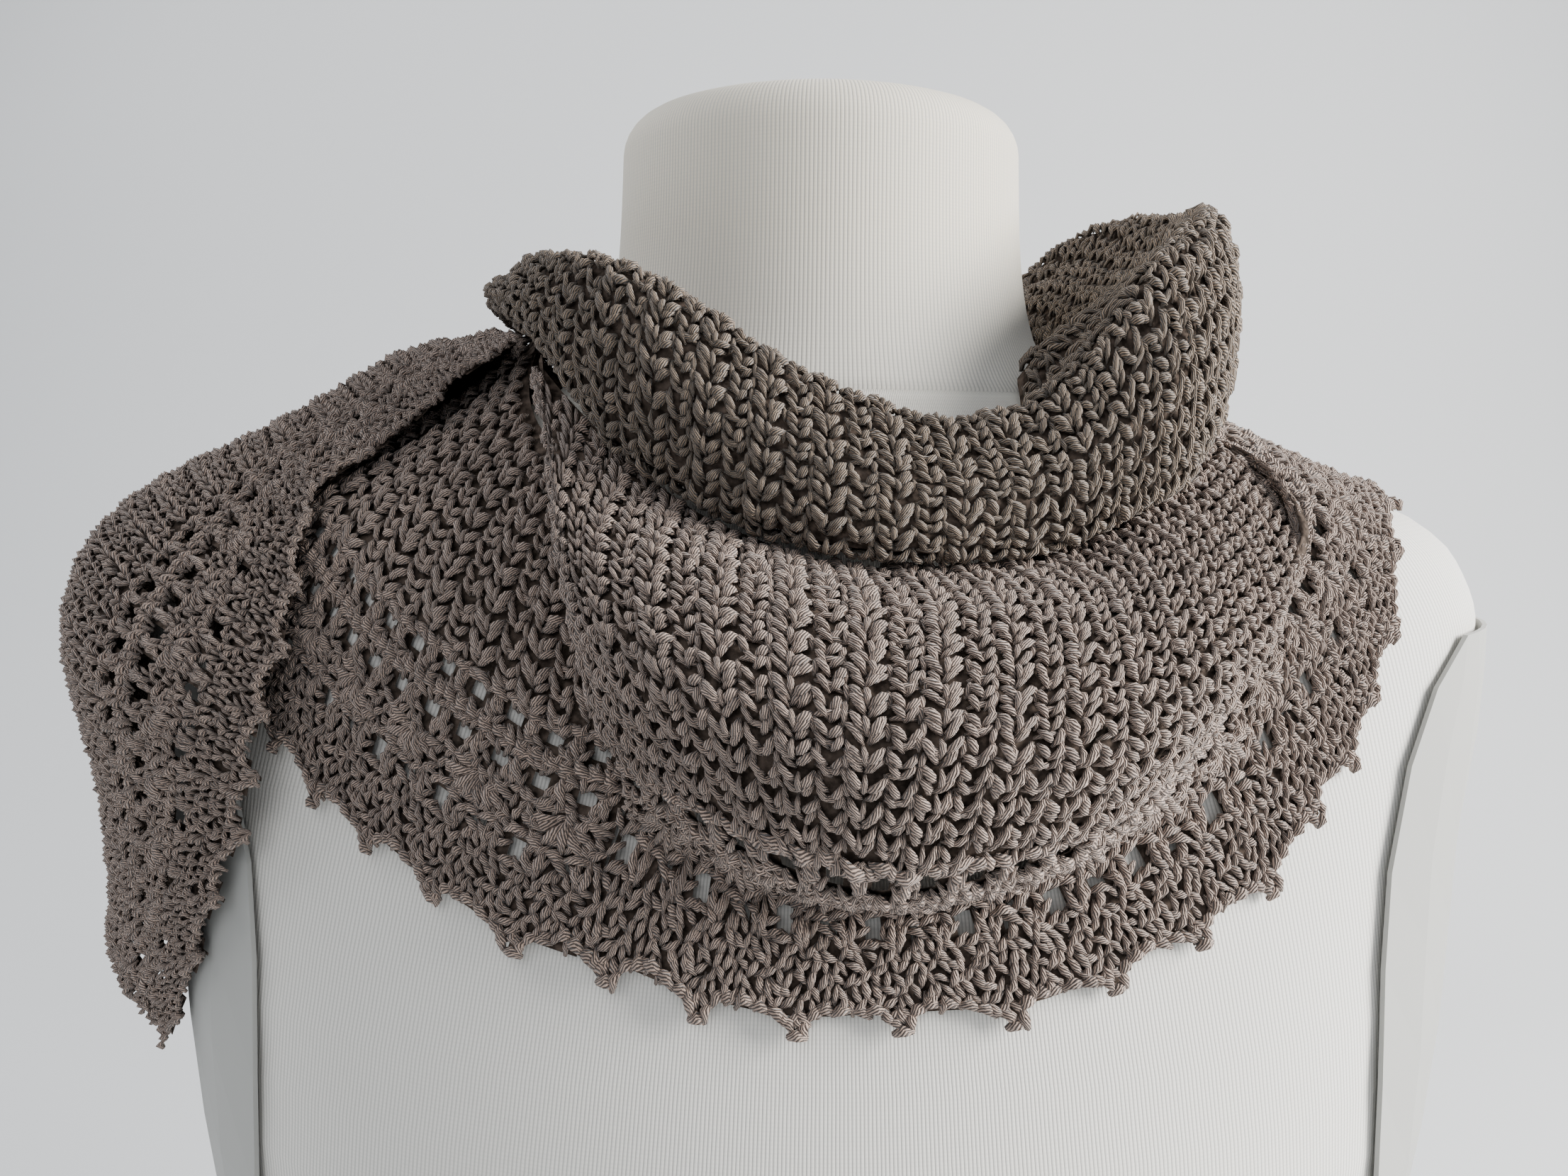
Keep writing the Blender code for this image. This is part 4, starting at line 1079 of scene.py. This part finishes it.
def yarn_material(name, dark, light, group):
    """Plied cotton yarn: dark between the plies as painted shade, light along their tops."""
    made, tree = new_material(name)
    plies = add_node(tree, "Group")
    plies.node_tree = group
    for socket, value in zip(plies.inputs, YARN_PLIES):
        socket.default_value = value
    # the dark end of this ramp is painted shade between the plies
    colour = ramp_node(tree, plies.outputs["Shade"], 0.18, dark, 0.80, light)
    tone = add_node(tree, "Attribute")
    tone.attribute_name = "tone"
    level = add_node(tree, "MapRange", {"Value": tone.outputs["Fac"], "To Min": 0.80, "To Max": 1.16})
    shade = add_node(tree, "VectorMath")
    shade.operation = "SCALE"
    feed(tree, shade.inputs[0], colour)
    feed(tree, shade.inputs["Scale"], level.outputs["Result"])
    return finish_material(made, shade.outputs["Vector"], plies.outputs["Height"], 0.9, 0.0005, {
        "Roughness": 0.85, "Specular IOR Level": 0.25, "Sheen Weight": 0.25, "Sheen Roughness": 0.6})


def backing_material(name, dark, light):
    """The shadowed yarn between and behind the stitches."""
    made, tree = new_material(name)
    noise = noise_node(tree, 420.0, 3.0)
    colour = ramp_node(tree, noise, 0.35, dark, 0.68, light)
    return finish_material(made, colour, noise, 0.8, 0.0006, {
        "Roughness": 0.95, "Specular IOR Level": 0.1})


def jersey_material(name, light, dark, worn):
    """Fine knitted jersey: upright wales with small gaps in painted shade, yellowed towards the top."""
    made, tree = new_material(name)
    wale, course = (
        math_node(tree, "ABSOLUTE", math_node(tree, "SINE", math_node(tree, "MULTIPLY", place, math.pi)))
        for place in yarn_coordinates(tree))
    stitch = math_node(tree, "MULTIPLY", math_node(tree, "POWER", wale, 0.7),
                       math_node(tree, "MULTIPLY_ADD", course, 0.15, 0.85))
    stains = math_node(tree, "MULTIPLY", noise_node(tree, 9.0, 3.0), 0.4)
    place = add_node(tree, "SeparateXYZ", {"Vector": add_node(tree, "TexCoord").outputs["Object"]})
    low, high = NECK_AGES
    aged = add_node(tree, "MapRange", {"Value": place.outputs[2], "From Min": low, "From Max": high,
                                       "To Max": 0.75})
    wear = math_node(tree, "ADD", stains, aged.outputs["Result"])
    # the dark colour in the gaps between wales and courses is painted shade
    colour = mix_node(tree, stitch, dark, mix_node(tree, wear, light, worn))
    return finish_material(made, colour, stitch, 0.5, 0.0002, {
        "Roughness": 0.95, "Specular IOR Level": 0.15, "Sheen Weight": 0.15})


# Pieces

def place_stretch(node, face, finishes, template, seed,
                  pair=ROW_PAIR, swap=False):
    """One stretch of the body: its shell and the stitches on it, in place of its solid."""
    surface = Surface(face)
    width, length = surface.across[-1], surface.down[-1]
    # the shell's dark finish is painted shade between the stitches
    shell = backing(node + "_cloth", surface, finishes["behind"])
    if swap:
        cells = body_cells(length, width, pair, seed)
    else:
        cells = body_cells(width, length, pair, seed)
        # a motif that starts outside the stretch is left out
        cells = cells[(cells[:, 1] > 0.0) & (cells[:, 1] < length)]
    # the roll's stitches take the darker copy of the yarn, which is painted shade
    yarn = finishes["roll" if node.startswith("roll") else "yarn"]
    knit = stitches(node + "_stitches", surface, template, cells, yarn, seed, swap)
    finish_piece(node, shell, knit, surface)


def place_lace(node, point_at, first, repeats, finishes, template, seed):
    """One stretch of the border: its pierced shell and its strands."""
    surface = Surface(lace_face(point_at, first, repeats), finer=2)
    # the shell's dark finish is painted shade between the strands
    shell = backing(node + "_cloth", surface, finishes["behind"], lace_keep(surface, repeats))
    knit = stitches(node + "_stitches", surface, template, lace_cells(surface, repeats),
                    finishes["border"], seed)
    finish_piece(node, shell, knit, surface)


def finish_piece(node, shell, knit, surface):
    """Ride and cloth size of a shell with its stitches."""
    for piece in (shell, knit):
        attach(piece, "root")
        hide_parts(node)
    width, length, area = surface.cut()


def shawl(finishes):
    """Every stretch of the shawl's body and of its border."""
    fine = strand_template(BODY_STITCH, ROW_PAIR, STITCH, 5, 4)
    plain = strand_template(BODY_STITCH, ROW_PAIR, STITCH, 4, 4)
    coarse = strand_template(BODY_STITCH, ROW_PAIR, STITCH, 4, 3)
    hidden = strand_template(BODY_STITCH[:HIDDEN_STRANDS], ROW_PAIR, STITCH, 3, 3)
    flat_rows = strand_template(BODY_STITCH, FLAP_ROW_PAIR, STITCH, 4, 3)
    lace_fine = strand_template(lace_strands(), 1.0, 1.0, 5, 3)
    lace_plain = strand_template(lace_strands(), 1.0, 1.0, 4, 3)

    front, back = ROLL_SEAMS
    back_roll = roll_face(back + ROLL_PARTING, front + 360 - ROLL_PARTING)
    back_end = BACK_FIRST + BACK_REPEATS
    left_end = LEFT_FIRST + LEFT_REPEATS + LEFT_UNDER
    for node, face, template, seed, held in (
            ("roll_front", roll_face(front, back), plain, 1, "folded"),
            ("roll_back", back_roll, coarse, 2, "folded"),
            ("front_drape", drape_face(), fine, 3, "draped"),
            ("right_shoulder", body_face(RIGHT_FIRST, BACK_FIRST, 14, 6), fine, 4, "laid"),
            ("back_wrap", body_face(BACK_FIRST, back_end, 30, 8), coarse, 5, "laid"),
            ("left_shoulder", hidden_face(back_end, LEFT_FIRST), hidden, 6, "laid"),
            ("left_front", body_face(LEFT_FIRST, left_end, 12, 6), fine, 7, "laid")):
        place_stretch(node, face, finishes, template, seed)
    place_stretch("left_flap", flap_face(), finishes, flat_rows, 8,
                  pair=FLAP_ROW_PAIR, swap=True)

    place_lace("front_lace", front_at, FRONT_FIRST, FRONT_REPEATS, finishes, lace_fine, 11)
    for node, first, repeats, template, seed in (
            ("right_lace", RIGHT_FIRST, RIGHT_REPEATS, lace_fine, 12),
            ("back_lace", BACK_FIRST, BACK_REPEATS, lace_plain, 13),
            ("left_lace", LEFT_FIRST, LEFT_REPEATS, lace_fine, 14)):
        place_lace(node, wrap_at, first, repeats, finishes, template, seed)
    place_lace("flap_lace", flap_at, 0, FLAP_REPEATS, finishes, lace_plain, 15)


def form_rings():
    """Rings of the form from its base to the middle of its cap, and the height of each."""
    heights = np.concatenate((
        (0.0, 1.2, FORM_BASE_ROUND), np.arange(12.0, SHOULDERS, BODY_STEP),
        np.arange(SHOULDERS, NECK_SEAM - 1.0, SHOULDER_STEP),
        NECK_SEAM + np.array((-1.0, -0.4, 0.4, 1.0)),
        np.arange(NECK_SEAM + SHOULDER_STEP, FORM_TOP - FORM_CAP_ROUND - 1, SHOULDER_STEP)))
    azimuths = np.linspace(-180, 180, FORM_COLUMNS, endpoint=False)
    rings, ups = [], []
    for height in heights:
        below = max(0.0, 1 - height / FORM_BASE_ROUND)
        inset = FORM_BASE_ROUND * (1 - math.sqrt(1 - below ** 2))
        if abs(height - NECK_SEAM) < 0.5:
            inset += SEAM_GROOVE
        rings.append(polar(azimuths, form_radius(azimuths, height) - inset, height))
        ups.append(height)
    for turn in np.radians(np.linspace(0, 90, 8)):
        inset = FORM_CAP_ROUND * (1 - math.cos(turn))
        rise = FORM_TOP - FORM_CAP_ROUND + FORM_CAP_ROUND * math.sin(turn)
        rings.append(polar(azimuths, form_radius(azimuths, rise) - inset, rise))
        ups.append(rise)
    edge = rings[-1]
    for part in CAP_RINGS:
        rings.append(edge * np.array((part, part, 1.0)))
        ups.append(ups[-1] + CAP_COURSES)
    return np.concatenate(rings), np.array(ups)


def dress_form_piece(finish):
    """The form with smooth sides; its wales are counted round the body and the neck."""
    points, ups = form_rings()
    count = FORM_COLUMNS
    i, j = np.meshgrid(np.arange(len(ups) - 1), np.arange(count), indexing="ij")
    a, b = (i * count + j).ravel(), (i * count + (j + 1) % count).ravel()
    quads = np.stack((a, b, b + count, a + count), axis=1)
    bottom = np.arange(count)[None, ::-1]
    top = (np.arange(count) + (len(ups) - 1) * count)[None]
    made = mesh_object("form_jersey_cover", points, [quads, bottom, top], finish)
    layer = made.data.uv_layers.new(name="yarn")
    corners = np.zeros(len(made.data.loops), dtype=np.int32)
    made.data.loops.foreach_get("vertex_index", corners)
    uv = np.stack((corners % count, ups[corners // count]), axis=1).astype(float)
    for polygon in made.data.polygons:
        face = uv[polygon.loop_start:polygon.loop_start + polygon.loop_total]
        # the last quad of a ring runs on past the first column
        if polygon.loop_total == 4 and np.ptp(face[:, 0]) > 2:
            face[face[:, 0] < 2, 0] += count
        wales = NECK_WALES if face[:, 1].mean() > NECK_SEAM else BODY_WALES
        face *= (wales / count, 1 / COURSE)
    layer.data.foreach_set("uv", uv.astype(np.float32).ravel())
    return made


# Studio: places and sizes in metres, power in watts
FLOOR_COLOUR = (0.62, 0.63, 0.64)
FLOOR_SIDE, FLOOR_FRONT, FLOOR_BACK, FLOOR_CURVE, WALL_TOP = 4.2, -3.0, 0.7, 0.9, 4.2
SKY_COLOUR, SKY_STRENGTH = (0.80, 0.86, 0.95), 0.44
LAMPS = (
    # name, place, target, size, power, colour
    ("window", (1.65, -0.38, 1.02), (0.0, 0.0, 0.5), 1.0, 122.0, (1.0, 0.985, 0.96)),
    ("front_fill", (-0.6, -1.5, 1.7), (0.0, 0.0, 0.45), 1.6, 12.0, (0.97, 0.98, 1.0)),
    ("sky", (-1.25, 0.35, 1.75), (-0.1, 0.0, 0.5), 1.5, 27.0, (0.97, 0.98, 1.0)),
)
CAMERA_PLACE = (-0.0095, -0.358, 0.554)
CAMERA_DOWN, CAMERA_ROLL = 8.0, 0.5     # degrees
CAMERA_LENS, CAMERA_SENSOR = 27.0, 36.0


def link_new(name, data):
    """A new object in the scene."""
    thing = bpy.data.objects.new(name, data)
    bpy.context.collection.objects.link(thing)
    return thing


def floor_piece():
    """Pale floor that sweeps up behind."""
    made, tree = new_material("studio_floor")
    shader = tree.nodes["Principled BSDF"]
    feed(tree, shader.inputs["Base Color"], FLOOR_COLOUR)
    feed(tree, shader.inputs["Roughness"], 0.9)
    line = [(FLOOR_FRONT, 0.0), (FLOOR_BACK, 0.0)]
    line += [(FLOOR_BACK + FLOOR_CURVE * math.sin(turn), FLOOR_CURVE * (1 - math.cos(turn)))
             for turn in np.radians(np.arange(6, 91, 6))]
    line.append((FLOOR_BACK + FLOOR_CURVE, WALL_TOP))
    points = np.array([(x, y, z) for y, z in line for x in (-FLOOR_SIDE, FLOOR_SIDE)]) / MM
    mesh_object("studio_floor", points, [grid_faces(len(line), 2)[:, ::-1]], made)


def studio():
    """Floor, soft light and the camera in the photo's place."""
    floor_piece()
    world = bpy.data.worlds.new("studio_light")
    bpy.context.scene.world = world
    world.use_nodes = True
    sky = world.node_tree.nodes["Background"].inputs
    sky[0].default_value = (*SKY_COLOUR, 1.0)
    sky[1].default_value = SKY_STRENGTH
    for name, place, target, size, power, colour in LAMPS:
        light = bpy.data.lights.new(name, "AREA")
        light.size = size
        light.energy = power
        light.color = colour
        lamp = link_new(name, light)
        lamp.location = place
        aim = np.array(target) - np.array(place)
        lamp.rotation_euler = (math.acos(-aim[2] / np.linalg.norm(aim)), 0.0,
                               math.atan2(aim[1], aim[0]) - math.pi / 2)
    camera = bpy.data.cameras.new("photo_view")
    camera.lens = CAMERA_LENS
    camera.sensor_width = CAMERA_SENSOR
    camera.clip_start = 0.01
    view = link_new("photo_view", camera)
    view.matrix_world = (Matrix.Translation(CAMERA_PLACE)
                         @ Matrix.Rotation(math.radians(90 - CAMERA_DOWN), 4, "X")
                         @ Matrix.Rotation(math.radians(CAMERA_ROLL), 4, "Z"))
    bpy.context.scene.camera = view


def main():
    """The studio, the form and the shawl on it."""
    studio()
    form = dress_form_piece(jersey_material("form_jersey_knit", *JERSEY))
    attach(form, "root")
    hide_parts("dress_form")
    # the side plates take the darker jersey copy, which is painted shade
    plate = jersey_material("plate_jersey_painted_shade", *PLATE_PAINTED_SHADE)
    for name in ("side_plate_left", "side_plate_right"):
        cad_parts[name].data.materials.clear()
        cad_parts[name].data.materials.append(plate)

    plies = plied_yarn()
    shawl({
        "yarn": yarn_material("shawl_yarn_plied", *YARN, plies),
        # the roll's yarn is a darker copy, painted shade
        "roll": yarn_material("shawl_yarn_roll_painted_shade", *ROLL_YARN_PAINTED_SHADE, plies),
        "border": yarn_material("border_yarn_plied", *BORDER_YARN, plies),
        # painted shade between and behind the stitches
        "behind": backing_material("shawl_painted_shade_between_stitches", *SHADE_BEHIND_STITCHES),
    })


main()
